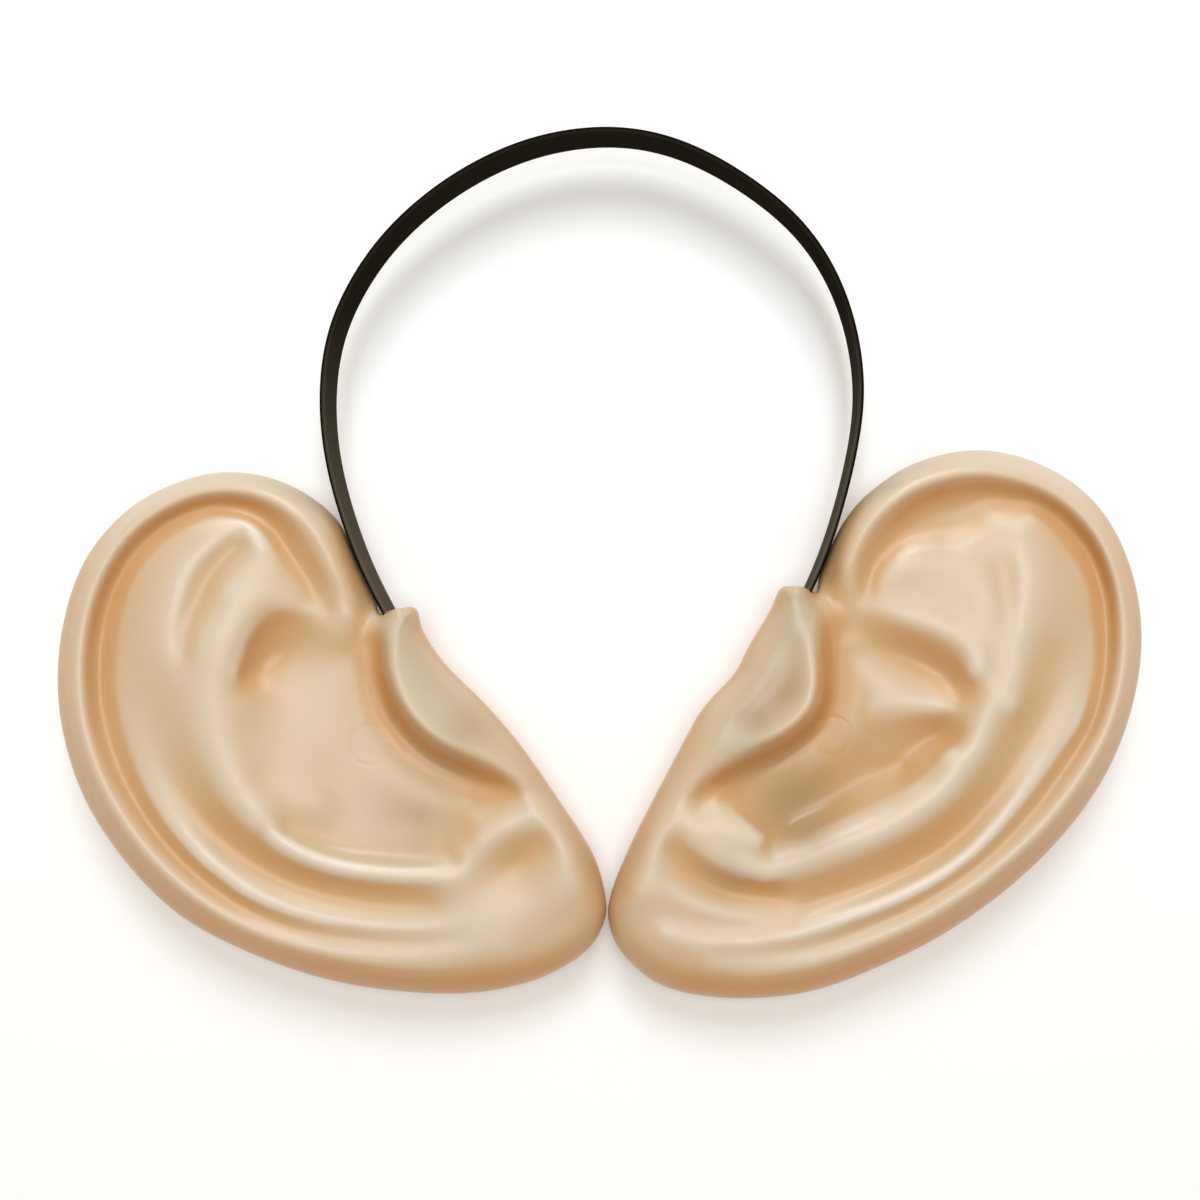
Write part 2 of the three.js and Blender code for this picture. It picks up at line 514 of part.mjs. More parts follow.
const earHeadband = new THREE.Group();
earHeadband.name = 'ear_headband';
earHeadband.add(piece('headband', stripSolid(bandLine, 0), blackPlastic));
earHeadband.add(piece('ear_left', earSolid(LEFT_EAR).subtract(leftSlot), vinyl()));
earHeadband.add(piece('ear_right', earSolid(RIGHT_EAR).subtract(rightSlot), vinyl()));

export default earHeadband;
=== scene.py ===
"""Ear headband: two oversized vinyl ears on a thin plastic band, lying on their open backs.

The fold charts are in millimetres as seen from straight above; every Blender object is in metres.
"""
import math

import bpy
import numpy as np
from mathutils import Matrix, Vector


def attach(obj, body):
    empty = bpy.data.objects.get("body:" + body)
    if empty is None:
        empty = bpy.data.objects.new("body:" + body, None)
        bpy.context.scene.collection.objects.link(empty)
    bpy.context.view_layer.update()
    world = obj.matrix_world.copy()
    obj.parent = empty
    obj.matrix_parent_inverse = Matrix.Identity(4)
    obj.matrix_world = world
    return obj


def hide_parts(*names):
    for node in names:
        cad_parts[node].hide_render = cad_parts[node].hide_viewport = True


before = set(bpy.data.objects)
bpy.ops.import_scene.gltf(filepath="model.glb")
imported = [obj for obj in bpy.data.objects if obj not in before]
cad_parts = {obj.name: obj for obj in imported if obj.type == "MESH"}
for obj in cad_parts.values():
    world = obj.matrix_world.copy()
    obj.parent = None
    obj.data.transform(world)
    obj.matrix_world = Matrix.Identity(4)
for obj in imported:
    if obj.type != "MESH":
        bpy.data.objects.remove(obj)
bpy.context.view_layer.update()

# How the charts are read: x and y are as seen from an eye straight above, z is above the table
EYE_HEIGHT = 380.0
CHART_HEIGHT = 15.0  # height at which a distance on the chart is the true one
CHART_WIDTH = 300.0  # width of the view at that height
MIDDLE = np.array([-0.1, 8.3])  # middle of the whole outline, from the point under the eye
MM = 0.001

# Vinyl sheet, pinned along its folds and kept as a grid of heights
FOLD_LINE_STEPS = 12
FOLD_EASE = 0.1  # how freely the sheet passes its pins by
FOLD_ROUNDING = 0.7  # no fold of the moulding is sharper than this
PIN_SPACING = 1.8
EDGE_LINE_STEPS = 8
EDGE_PIN_SPACING = 4.0
EDGE_SOFTNESS = 3.0
MARK_WIDTH = 0.5
GRID_STEP = 0.5
GRID_MARGIN = 3.0
GRID_BATCH = 4000  # grid points worked out at a time
LAST_CELL = 1.001  # cells by which a sample stays inside the end of the grid
LAST_SMOOTH_CELL = 2.001
BELL_TAIL = 3  # radii at which a smoothing bell is cut off
TINY = 1e-12  # least squared length of a stretch of a line

# Vinyl shell
WALL = 2.2
STEPS_PER_EDGE_ROW = 12
FRONT_RINGS = 180
BACK_RINGS = 34
RING_CROWDING = 1.2
LEAST_SQUARENESS = 0.5  # how slanted a spoke may count where it meets the edge
LINING_REACHES = (0.55, 0.95)  # shares of the wall at which the skin beside a point bears on the lining
LINING_TURNS = 8
# Side wall rows, from under the edge to the table: how far it has drawn in, and its share of the edge height
SIDE_WALL = [
    (0.1, 0.88), (0.3, 0.76), (0.8, 0.62), (1.5, 0.46), (2.6, 0.3), (3.9, 0.15), (5.0, 0.04), (5.5, 0.0),
]

# Painted shade and painted highlights: where the vinyl is hollow, sheltered, deep or raised
HOLLOW_REACHES = [(1.5, 0.25), (4.0, 0.4), (9.0, 0.35)]  # how far around a hollow is judged, and its share
NEAR_REACHES = [1.0, 2.0, 3.0, 4.5, 6.5]  # how far around the shelter of a fold is judged
FAR_REACHES = [9.0, 13.0, 18.0, 24.0]
FAR_SHARE = 0.4
SHELTER_DIRECTIONS = 16
SHELTER_ROUNDING = 1  # in cells of the grid
CROWN_SHARE = 0.4  # how much more the side towards the crown, where the key light stands, counts in the painted shade
SLOPE_REACH = 1.0  # slopes are judged on folds rounded this much
LEE_SHARE = 0.65  # painted shade on a slope that faces away from the crown and its key light
LEE_POWER = 3  # gentle slopes count for little
STEEP_SLOPES = (0.7, 1.8)  # rise over run where a wall starts to get painted shade, and where it gets the most
STEEP_SHARE = 0.3
RIDGE_REACH = 1.5
TRAGUS_CLEAR = 12.0  # no crest gets a painted highlight within this distance of the strip inside the ear
# Painted shade from shelter is cut to a share of RIM_TINT at the edge and is full RIM_TURN inside it
RIM_TURN = 7.0
RIM_TINT = 0.35
RIM_FADE = (8.0, 12.0)  # the painted crest highlights and the painted deep shade start and end their fade this far inside the edge

# Where the strip shows through the vinyl, and the painted shade on the vinyl beside it
BAND_ENTRY = 3.0  # the strip runs inside the ears below this y
BAND_GUIDE_STEPS = 4
BAND_SHOW_THROUGH = 9.0
BAND_COVER = 4.0  # rise of the vinyl above the strip's top at which its tint over the strip is full
DISH_DEPTH = 0.4  # hollowness of the vinyl at which the strip shows most
BESIDE_SPAN = (BAND_ENTRY - 6, 30)  # the strip lies beside the vinyl between these y
BESIDE_SHARE = 0.18
BAND_BESIDE = 6.0  # width of the painted shade on the vinyl along the band outside the ears
BESIDE_RISE = 3.0  # vinyl that stands further above the strip's top gets no painted shade from it

# Headband strip
BAND_WIDTH = 13.0
BAND_THICKNESS = 1.4
BAND_TOP = 20.5
BAND_LEAN = math.radians(3)
BAND_CORNER = 0.45
BAND_CORNER_STEPS = 4
STEPS_PER_BAND_ROW = 10
BAND_STEP = 1.5
BAND_EASING = 40
BAND_LIT = 75.0  # painted light: the inner face of the strip is painted paler, as lit by the vinyl, up to this y
# least share of that painted light, all along the inner face
BAND_DIM = 0.12

# Colours
# Vinyl colours: painted glint and crest highlights, its own colour, painted shade on slopes, in hollows and
# deep in the folds, the strip seen through it, painted shade in patches, and a cloudy tint
VINYL_GLINT = (0.8, 0.74, 0.66)
VINYL_CREST_HIGHLIGHT = (0.68, 0.595, 0.475)
VINYL = (0.63, 0.515, 0.37)
VINYL_SLOPE_SHADE = (0.59, 0.37, 0.183)
VINYL_HOLLOW_SHADE = (0.595, 0.298, 0.1)
VINYL_DEEP_SHADE = (0.46, 0.315, 0.17)
VINYL_OVER_BAND = (0.47, 0.41, 0.28)
VINYL_OLIVE_SHADE = (0.385, 0.265, 0.132)
VINYL_CLOUD = (0.68, 0.46, 0.31)
BAND_DARK = (0.004, 0.0036, 0.003)
BAND_BROWN = (0.011, 0.0085, 0.005)
# painted light on the strip's inner face, as bounced from the vinyl
BAND_INNER_BOUNCE_LIGHT = (0.095, 0.082, 0.06)
FLOOR = (0.95, 0.95, 0.945)
# Amount of painted shade at which the vinyl has each colour
VINYL_PAINTED_SHADE = [(0.02, VINYL), (0.25, VINYL_SLOPE_SHADE), (0.57, VINYL_HOLLOW_SHADE)]
# Tints laid over it in turn (painted deep shade, painted highlights on crests and ridges, the strip showing
# through, patches of painted shade): what they follow, where they start and are full, their full share, their
# colour
VINYL_TINTS = [
    ("depth", 0.22, 0.5, 0.75, VINYL_DEEP_SHADE),
    ("hollow", -0.25, -1.4, 0.15, VINYL_CREST_HIGHLIGHT),
    ("ridge", 0.03, 0.2, 0.45, VINYL_CREST_HIGHLIGHT),
    ("ridge", 0.12, 0.34, 0.42, VINYL_GLINT),
    ("band_behind", 0.1, 1.3, 0.9, VINYL_OVER_BAND),
    ("olive", 0.05, 1.0, 0.95, VINYL_OLIVE_SHADE),
]
CLOUD_SPAN = (0.35, 0.75)  # of the noise, over which the cloudy tint comes in
CLOUD_SHARE = 0.14
GRAIN_SPAN = (0.3, 0.7)  # of the noise, over which the roughness changes
BAND_MOTTLE = [(0.3, BAND_DARK), (0.75, BAND_BROWN)]

# Floor, light and camera, in metres and watts
FLOOR_HALF = 1.5
FLOOR_DROP = 0.0002
LIGHT_TARGET = (0, -0.02, 0)
LIGHT_COLOUR = (0.93, 0.985, 1.05)
# Light rows: name, place, size across, power
LIGHTS = [("key", (0.0, 0.85, 0.95), 0.6, 8.2), ("overhead", (0.0, 0.1, 1.5), 0.9, 9.7)]
ROOM_COLOUR = (1, 0.87, 0.7, 1)
ROOM_STRENGTH = 0.45
SENSOR_WIDTH = 36
NEAREST_VIEW = 0.02

# Outline rows: x, y, edge height, radius of the turn over the edge
# Mould mark: x, y, radius and depth of a faint ring; patches of painted shade: x, y, reach and strength of
# each
# Fold rows: softness of the fold, then points along it as x, y and height
LEFT_EAR = {
    "middle": (-80, -32.5),
    "mould mark": (-57.5, -36.3, 5, 0.045),
    "painted shade patches": [(-32.5, -33.5, 7, 0.5), (-48, -56, 11, 0.55)],
    "outline": [
        (-55.3, -3.3, 16, 3), (-53.2, -2.8, 22.5, 2.5), (-50, -2, 22.5, 2.5), (-46.2, -2.2, 19, 3.5),
        (-44.2, -8, 16, 7), (-38.8, -16, 16, 8), (-28.8, -26, 15.5, 8), (-20, -36.2, 14.5, 8),
        (-10, -50.5, 13.5, 7.5), (-2, -63, 12, 7), (1.2, -73.2, 11, 7), (1, -80.5, 11, 7),
        (-3.8, -88, 11, 7), (-15, -94.5, 11, 7), (-30, -98, 11, 7), (-47.5, -98, 12, 7),
        (-67.5, -95, 12, 7), (-87.5, -88.2, 13, 7), (-105, -78.8, 13, 7), (-118.8, -65.2, 14, 7),
        (-129.5, -48.2, 14, 7), (-135, -28.8, 15, 7), (-134.8, -9.2, 15, 7), (-129, 9.5, 16, 7),
        (-117.5, 23, 16, 7), (-102.5, 30.5, 16, 7), (-88.8, 31.8, 16, 7), (-76.2, 28, 16, 7),
        (-66.2, 20.5, 15, 7), (-60.6, 10, 13, 7), (-56.4, 1.2, 13, 5),
    ],
    "folds": {
        "helix crest": (2.5, [
            (-62, -1, 21.3), (-66.5, 9, 23.6), (-74, 20.5, 25), (-83, 27, 25.5), (-100, 28.2, 25.5),
            (-118.8, 17.8, 25.5), (-128.2, 0, 25.2), (-130.5, -20, 25), (-127, -40, 24.8), (-118, -56, 24.3),
            (-104, -71, 23.6), (-87.5, -82, 22.9), (-66, -88, 22.3), (-45, -89.5, 21.8), (-25, -88, 21.2)]),
        "groove inside the helix": (1.6, [
            (-67.5, -2, 21.2), (-70.5, 1.2, 20.9), (-73.8, 5.5, 20.8), (-76.8, 10, 20.9), (-80, 15, 21),
            (-83, 19.2, 21.1), (-87.5, 22.2, 21.1), (-93.8, 23.4, 21.1), (-100, 22.9, 21),
            (-106.2, 20.5, 20.9), (-112.5, 16, 20.8), (-118.6, 8.6, 20.7), (-122.8, 0.5, 20.6),
            (-125.2, -9, 20.6), (-125.8, -19, 20.7), (-125, -28, 20.9), (-122.8, -36.5, 21.2),
            (-119.8, -44, 21.3), (-115.8, -51, 21.3), (-109.5, -60, 21.2), (-101, -68.2, 21.1),
            (-91, -75.2, 21.1), (-75, -82.4, 21.2), (-50, -85, 21.35), (-34, -84.4, 21.5)]),
        "inner bank of the groove": (1.3, [
            (-74.6, 3.2, 21.7), (-78.8, 8.2, 22.3), (-82.4, 12.4, 23.1), (-84, 14.8, 23.3),
            (-86.4, 17.6, 23.3), (-90, 19.6, 23.2), (-95, 20.6, 22.9), (-100, 19.8, 22.6),
            (-105.3, 17.6, 22.2), (-110, 14.4, 22), (-114.8, 9.2, 21.9), (-118.4, 2, 21.9),
            (-120.6, -7, 22), (-121.2, -16, 22.2), (-120.4, -25, 22.5), (-118.4, -33.6, 22.8),
            (-115.6, -41.6, 23), (-112.4, -48.6, 23.1), (-107.5, -56.2, 23.2), (-100, -64.8, 23.2),
            (-93.8, -69.8, 23), (-86.4, -74.8, 22.8), (-70, -80.2, 22.2), (-50, -82.4, 21.8),
            (-36, -82, 21.6)]),
        "outer edge of the upper crus": (1.2, [
            (-89.6, 17.8, 23.2), (-95, 15, 23.9), (-99, 12, 24.4), (-102.2, 9, 24.8), (-104.4, 5.4, 25.1),
            (-105.8, -0.6, 25.3), (-107.4, -5, 25.4), (-107.2, -12.5, 25.5), (-105.8, -21, 25.5)]),
        "channel along the upper crus": (1.4, [
            (-90.6, 13.4, 22.8), (-96, 7.6, 23.1), (-99.6, 1, 23.7), (-102.6, -7, 24.6),
            (-103.6, -14, 25.2)]),
        "inner edge of the upper crus": (0.8, [
            (-83, 11.8, 23.3), (-87.5, 9.2, 24.1), (-91, 6, 24.7), (-93.5, 3, 25.1), (-95.8, -2.4, 25.5),
            (-99.2, -8, 25.9), (-100.8, -14, 26.1), (-101.4, -20, 26.1)]),
        "edge of the lower crus": (1, [
            (-71.4, -2.6, 21.4), (-75, -2, 22), (-78, -1.6, 22.7), (-81, -2.3, 23.2), (-83.5, -3.9, 23.5),
            (-85.6, -6.2, 23.7), (-87.6, -9.2, 23.9), (-89.2, -12.6, 24.1), (-90.4, -16.2, 24.3),
            (-91.2, -20, 24.5)]),
        "foot of the wall under the lower crus": (1.2, [
            (-69.6, -7, 20.9), (-73, -9.4, 20), (-77, -11.4, 19.3), (-81.2, -13.8, 19), (-85.5, -16.4, 20),
            (-88.6, -18.8, 22)]),
        "foot of the concha edge": (1.2, [
            (-78.6, -57.2, 23), (-72.5, -60.8, 22.2), (-65, -63.3, 21.4), (-55, -64.6, 20.8),
            (-45, -64.9, 20.4), (-37, -64.2, 20.4)]),
        "strip of floor along the edge": (1.8, [
            (-66, -60, 20.4), (-57, -61.6, 19.7), (-47, -62, 19.3), (-39.5, -61, 19.4)]),
        "bulge in the concha": (2.5, [(-77.4, -51.4, 22.6), (-71, -50, 21.4)]),
        "crease under the bulge": (2, [(-75.2, -55.4, 22), (-69, -54, 20.9)]),
        "floor of the concha": (3.5, [
            (-78, -19.5, 19.8), (-76.5, -28, 20.6), (-74, -37, 20.8), (-68, -45, 20), (-58, -53, 18.7),
            (-47, -57, 18.2), (-39.5, -57, 18.7)]),
        "floor beside the tragus": (3, [
            (-63.2, -16, 19.3), (-63.6, -22, 19.2), (-62.2, -30, 18.9), (-58, -38.6, 18.5),
            (-51, -45.6, 18.2), (-41.6, -50.6, 18.4), (-32, -52, 19.3)]),
        "root of the helix": (2.5, [
            (-61.8, -4, 21.5), (-64, -8.5, 20.9), (-66, -12, 20)]),
        "tragus lip": (1.2, [
            (-51, -4.2, 24.6), (-52, -10, 25.8), (-51.3, -17.5, 26.9), (-48.9, -24.6, 27.4),
            (-44.4, -30.6, 27.4), (-38, -35.6, 26.7), (-30.8, -38.9, 25.5), (-24.4, -41.6, 24.3),
            (-19, -44.8, 23.2)]),
        "edge of the tragus lip": (0.6, [
            (-53.5, -6, 24.2), (-53.4, -10, 25.2), (-52.8, -17.5, 26.4), (-50.3, -25, 26.9),
            (-45.5, -31.8, 26.9), (-38.8, -37, 26.1), (-31.4, -40.3, 24.9), (-24.6, -43.2, 23.6),
            (-18.8, -46.2, 22.6)]),
        "foot of the tragus wall": (1.5, [
            (-55.8, -9, 21.4), (-55.6, -13, 20.4), (-55.1, -19.8, 19.5), (-52.7, -26.6, 19),
            (-49.4, -31.5, 18.7), (-45.2, -35.9, 18.6), (-40.1, -39.5, 18.7), (-34.4, -42.2, 19.1),
            (-28.8, -44.8, 19.8), (-23.2, -47.2, 20.8), (-18.8, -49, 21.7)]),
        "dish of the tragus": (3, [
            (-48, -12, 25.2), (-46.6, -18, 26), (-43.4, -24, 26.2), (-38.4, -28.8, 25.9),
            (-32.4, -32.8, 25)]),
        "antitragus": (2.6, [
            (-29.5, -59.8, 22.1), (-23.8, -56.4, 22.5), (-16.2, -53.2, 22.7)]),
        "top of the antitragus step": (1.6, [
            (-31, -53.6, 20.5), (-32.2, -58.6, 20.9), (-34, -63.4, 21.4)]),
        "foot of the antitragus step": (1.6, [
            (-32.8, -52.8, 19.8), (-34.2, -57.8, 20), (-36, -62, 20.5)]),
        "dimple above the lobe": (2.8, [
            (-30.5, -71, 21.1), (-26.2, -68.2, 20.4), (-22, -65.5, 20), (-17.5, -62.8, 20.4),
            (-14.2, -60.8, 21.1)]),
        "valley under the antihelix": (3.5, [
            (-112.6, -24, 24), (-109, -38, 23.5), (-101.4, -51.5, 22.5), (-91.4, -62, 21.4),
            (-78.5, -68.8, 20.7), (-65, -72.8, 20.4), (-53, -74.6, 20.4), (-43, -75, 20.7)]),
        "swell of the lobe": (3, [(-11.5, -54.8, 22.6), (-7, -63.8, 22.2), (-5.6, -72, 21.6)]),
        "middle of the lobe": (3, [(-32, -77, 21.4), (-15, -77, 21.2)]),
        "lower edge of the concha": (2, [
            (-81.5, -59, 24.6), (-77, -61.6, 24.4), (-70, -64.6, 23.8), (-60, -66.9, 23.3),
            (-50, -68, 22.8), (-42, -68.2, 22.4), (-36, -67.6, 22)]),
        "floor in the shade of the tragus": (2.5, [
            (-58, -13, 19.7), (-57.6, -20.6, 18.9), (-55.4, -28.4, 18.4), (-51.6, -34, 18),
            (-46.8, -38.6, 17.9), (-41.2, -42.6, 18.1), (-34.9, -45.6, 18.7), (-29, -47.8, 19.5)]),
        "antihelix crest": (3, [
            (-100.8, -26, 26), (-99, -34, 25.8), (-96.4, -42, 25.5), (-92.4, -49.5, 25.2),
            (-87, -55.4, 24.9)]),
        "slope into the concha": (3.5, [
            (-88, -26, 23.6), (-87, -35, 23.6), (-84.4, -44, 23.4)]),
        "floor past the shade": (3, [
            (-60.6, -13, 19.5), (-60.6, -20, 19), (-58.8, -28, 18.6), (-55, -36, 18.2), (-48.8, -42.2, 18),
            (-41.4, -46.8, 18.2), (-33.6, -49.6, 19)]),
        "wall under the lower crus": (1, [
            (-75.6, -5.4, 21), (-79, -5.4, 21.2), (-81.8, -6.4, 21.4), (-84.4, -8.4, 21.7),
            (-86.6, -11.4, 22), (-88.2, -14.6, 22.6)]),
    },
}
RIGHT_EAR = {
    "middle": (80, -32.5),
    "mould mark": (58.2, -33.8, 4.6, 0.09),
    "painted shade patches": [(38, -29.5, 5.5, 0.9), (45.5, -22.5, 5, 0.8), (50, -54, 10, 0.9), (31, -71, 7, 0.4)],
    "outline": [
        (54.2, 2, 16, 3), (51.2, 3.1, 22.5, 2.5), (48.2, 3.5, 22.5, 2.5), (45.2, 2.8, 19, 3.5),
        (42.5, -2.8, 16, 7), (37.5, -11.2, 16, 8), (33.8, -18.2, 16, 8), (28, -24.5, 16, 8),
        (24.2, -29.5, 15.5, 8), (18.8, -39.5, 14.5, 8), (12.5, -51.5, 13.5, 7.5), (7, -62.5, 12, 7),
        (2.8, -73.2, 11, 7), (2.2, -80.5, 11, 7), (5.5, -88.2, 11, 7), (13.8, -95.5, 11, 7),
        (25, -98.8, 11, 7), (38.8, -99.5, 12, 7), (53.8, -97.5, 12, 7), (70, -91.5, 12, 7),
        (87.5, -82.5, 13, 7), (105, -69.5, 13, 7), (118.8, -55, 14, 7), (128.8, -38.8, 14, 7),
        (134.5, -20, 15, 7), (135, -2.5, 15, 7), (130.5, 13.8, 16, 7), (122, 26.2, 16, 7),
        (108.8, 34.5, 16, 7), (93.8, 37.5, 16, 7), (78.8, 34.2, 16, 7), (67.5, 27, 16, 7),
        (61.5, 20.2, 15, 7), (57.4, 12.5, 13, 7), (55, 6.5, 13, 5),
    ],
    "folds": {
        "helix crest": (2.5, [
            (61, 2.5, 21), (62, 11, 23.4), (68, 21, 25), (78, 29, 25.5), (94, 33.8, 25.5),
            (111.2, 29.2, 25.5),
            (123.5, 17.8, 25.5), (131, -3, 25.2), (131.2, -20, 25), (125.5, -37, 24.6), (113.5, -54.5, 24),
            (100, -66.8, 23.4), (85, -77, 22.8), (70, -85, 22.3), (50, -91, 21.8), (32, -90.6, 21.4),
            (18, -87, 21)]),
        "groove inside the helix": (1.5, [
            (66.6, 1, 20.5), (67.4, 5, 20.4), (68.5, 9, 20.5), (71, 14, 20.7), (74.6, 18.8, 20.9),
            (78.6, 22.6, 21.2), (83.2, 25.2, 21.4), (89, 26.4, 21.4), (95.5, 26.6, 21.3), (102.5, 25.8, 21.3),
            (108.8, 23.9, 21.2), (113.8, 21.6, 21), (118.7, 17.6, 20.8), (122.4, 13.2, 20.7),
            (125.3, 7, 20.6), (126.8, 0, 20.5), (127.1, -10, 20.5), (126.3, -17.5, 20.6),
            (124.8, -25, 20.8), (122.2, -32.6, 21), (116.5, -41.5, 21.3), (110, -50.4, 21.5),
            (102.6, -58.8, 21.6), (96.2, -64.8, 21.6), (90, -69.4, 21.6), (82.4, -74, 21.5),
            (75, -77.8, 21.4), (65, -81.8, 21.3), (58, -84.8, 21.3), (48, -87.2, 21.4), (38, -88.4, 21.5),
            (28, -88.4, 21.4)]),
        "inner bank of the groove": (1, [
            (107.6, 21.6, 22.4), (112, 18.8, 22), (118.3, 11.4, 21.5), (122.2, 4, 21.3), (123.8, -4, 21.3),
            (124, -15, 21.5), (122.6, -24, 21.9), (119.8, -31.4, 22.4), (114.6, -38, 22.8),
            (109.6, -44.6, 23), (103.4, -52.2, 23.1), (97, -59.2, 23.1), (91, -64.8, 23),
            (84.8, -69.2, 22.9), (76.2, -73.8, 22.9), (67.5, -77.6, 22.6), (57.5, -81.2, 22.3),
            (50, -83.4, 22.1), (40, -85.2, 21.9), (26, -85.8, 21.7), (16, -83.6, 21.5)]),
        "outer edge of the upper crus": (0.9, [
            (105.6, 18, 23.6), (106.1, 13, 24.3), (106.5, 7, 24.9), (106, 0, 25.3), (105.4, -8, 25.5),
            (104.2, -18, 25.6), (102.6, -26, 25.6)]),
        "channel along the upper crus": (2.4, [
            (100.6, 8, 23.3), (101.4, 0, 24.2), (102.2, -7, 25)]),
        "antihelix crest": (3, [
            (99.4, -14, 25), (98, -22, 25.1), (96.2, -29, 25.1), (93.8, -36.4, 24.8), (90, -43.8, 24.4),
            (85, -50, 24), (77.5, -55.6, 23.6), (70, -59.6, 23.3), (62.5, -62.8, 23.1), (55, -65.6, 22.9),
            (47.5, -67.8, 22.6), (42.4, -69.2, 22.4)]),
        "triangular fossa": (3, [
            (77, 6.6, 22.3), (86, 6.8, 22.75)]),
        "floor of the fossa": (3, [
            (76, 0.6, 21.9), (88, -1, 22.9)]),
        "edge of the lower crus": (2, [
            (68, -2.4, 21), (73, -3.6, 21.8), (79, -5.4, 22.6), (85, -8, 23.4), (90.6, -12.4, 24.2),
            (94, -17.4, 24.9)]),
        "foot of the wall under the lower crus": (0.9, [
            (62.6, -10.6, 19.3), (67.5, -11.4, 18.8), (73.7, -12.8, 18.5), (79, -14.6, 18.5),
            (84, -17.4, 18.9), (88.2, -20.6, 20.1), (91, -24, 22)]),
        "root of the helix": (3, [
            (67, -18.2, 19.2), (72.5, -19.6, 19.6), (80, -22.2, 20.2), (86, -24.2, 21)]),
        "edge of the root": (2.6, [
            (68.4, -27.6, 19.6), (74, -28, 20.2), (81, -28, 20.7), (88, -27, 21.8)]),
        "upper floor of the concha": (3.5, [
            (72, -38.6, 17), (80, -35.8, 17.6), (85.6, -34, 18.9)]),
        "floor of the concha": (3, [
            (76, -43.4, 17.7), (66, -48, 16.6), (57, -53, 15.8), (47.5, -57, 16)]),
        "lower edge of the concha": (1.7, [
            (43, -61.4, 20.2), (50, -60, 20.3), (56.2, -57.2, 20.4), (62.5, -54.4, 20.5),
            (70, -50.8, 20.8), (76.2, -47.4, 21.2), (82.5, -42.8, 21.9), (87.4, -38, 22.9)]),
        "tragus lip": (1.2, [
            (50, 0.5, 24.4), (51.6, -5, 25.4), (52.4, -10, 26.2), (52.8, -15, 26.9), (53, -20, 27.4),
            (52.2, -24.6, 27.6), (50.4, -27.8, 27.5), (47.2, -31, 27), (43.6, -33.4, 26.4),
            (38.8, -35.8, 25.7), (34, -38, 24.9), (29.4, -40.6, 24.1), (25.2, -43.6, 23.2),
            (22, -47.4, 22.4)]),
        "edge of the tragus lip": (0.6, [
            (53.8, -5.4, 24.8), (54.1, -10, 25.6), (54.4, -15, 26.3), (54.6, -20, 26.8), (53.9, -25, 27),
            (51.9, -28.8, 26.9), (48.6, -32.2, 26.4), (44.8, -34.8, 25.7), (39.8, -37.3, 25),
            (34.9, -39.6, 24.1), (30.4, -42.3, 23.3), (26.2, -45.2, 22.5), (23.4, -48, 21.9)]),
        "foot of the tragus wall": (1.5, [
            (57.1, -6.6, 21), (57.3, -11, 20.2), (57.5, -17, 19.6), (57.5, -22.2, 19.3), (56.3, -27.4, 19),
            (53.7, -31.4, 18.6), (50.1, -34.7, 18.3), (46, -37.4, 18.3), (40.9, -40, 18.5),
            (36.1, -42.4, 18.9), (31.5, -45, 19.5), (27.4, -47.8, 20.3), (24.4, -50.2, 21.1)]),
        "floor beside the tragus": (3, [
            (62.6, -10, 19.2), (63.4, -19, 18.7), (62, -30, 18), (55, -40.4, 17), (44.8, -46.8, 16.6),
            (35.6, -49.8, 18)]),
        "dish of the tragus": (2.2, [
            (48.2, -11, 25), (49, -16, 25.2), (48.6, -20.4, 25.2), (46, -23.8, 24.9), (42, -26.2, 24.4),
            (37.6, -28.4, 24.1)]),
        "antitragus": (2, [(20.6, -54, 22.4), (24.4, -57.6, 22.9), (29, -60, 23), (34.6, -63.6, 22.9)]),
        "lower edge of the antitragus": (0.9, [
            (22, -60.6, 22.3), (28.8, -65.2, 22.5), (35, -68, 22.5), (41, -69.4, 22.3)]),
        "top of the antitragus step": (1.1, [
            (29, -50.6, 21.2), (33.2, -53, 21.4), (37.2, -56.2, 21.5), (40.2, -59.4, 21.5)]),
        "foot of the antitragus step": (1.1, [
            (30.6, -49.2, 20), (34.6, -51.6, 19.5), (38.4, -54.8, 19.2), (41, -57.8, 19.5)]),
        "dimple above the lobe": (2, [
            (18.6, -61.5, 21.1), (20.5, -64.8, 20.5), (24.2, -69, 19.7), (30, -72, 19.3),
            (36.2, -73.2, 19.2), (43.8, -73.6, 19.4)]),
        "ridge across the lobe": (3, [
            (16.6, -70, 21.6), (22.5, -74.4, 21.2), (30, -77.4, 21), (40, -78.8, 20.7), (50, -78, 20.4)]),
        "crease across the lobe": (3, [
            (12.5, -77.6, 21.1), (25, -81.4, 21), (37.5, -82.4, 21.1), (50, -81, 21.3)]),
        "valley under the antihelix": (3, [
            (114, -14, 22.9), (110.5, -25, 22.6), (105, -37.5, 22.1), (98.4, -50, 21.4),
            (89.2, -61.4, 20.7), (77.8, -68.4, 20.1), (65, -72.8, 19.8), (53, -75.4, 19.7)]),
        "swell of the lobe": (3, [(14, -57.5, 22.2), (12, -65.5, 21.9), (9, -72.5, 21.5)]),
        "ramp beside the groove": (2.4, [
            (72, 11.6, 20.6), (76.4, 14.8, 20.6), (82, 16.4, 20.6), (88, 16.8, 20.7), (93, 18.4, 21.1),
            (97, 21.2, 21.5)]),
        "edge of the fossa": (1.8, [
            (68.6, 2.7, 20.9), (69.6, 6.2, 21.1), (72.2, 9.6, 21.45), (75.6, 12.2, 21.65),
            (80.4, 13.5, 21.8), (87.5, 13.5, 22), (91.2, 14, 22.35), (94.4, 15.6, 22.4), (98, 18, 22.5),
            (102, 19.8, 22.6)]),
        "inner edge of the upper crus": (1.2, [
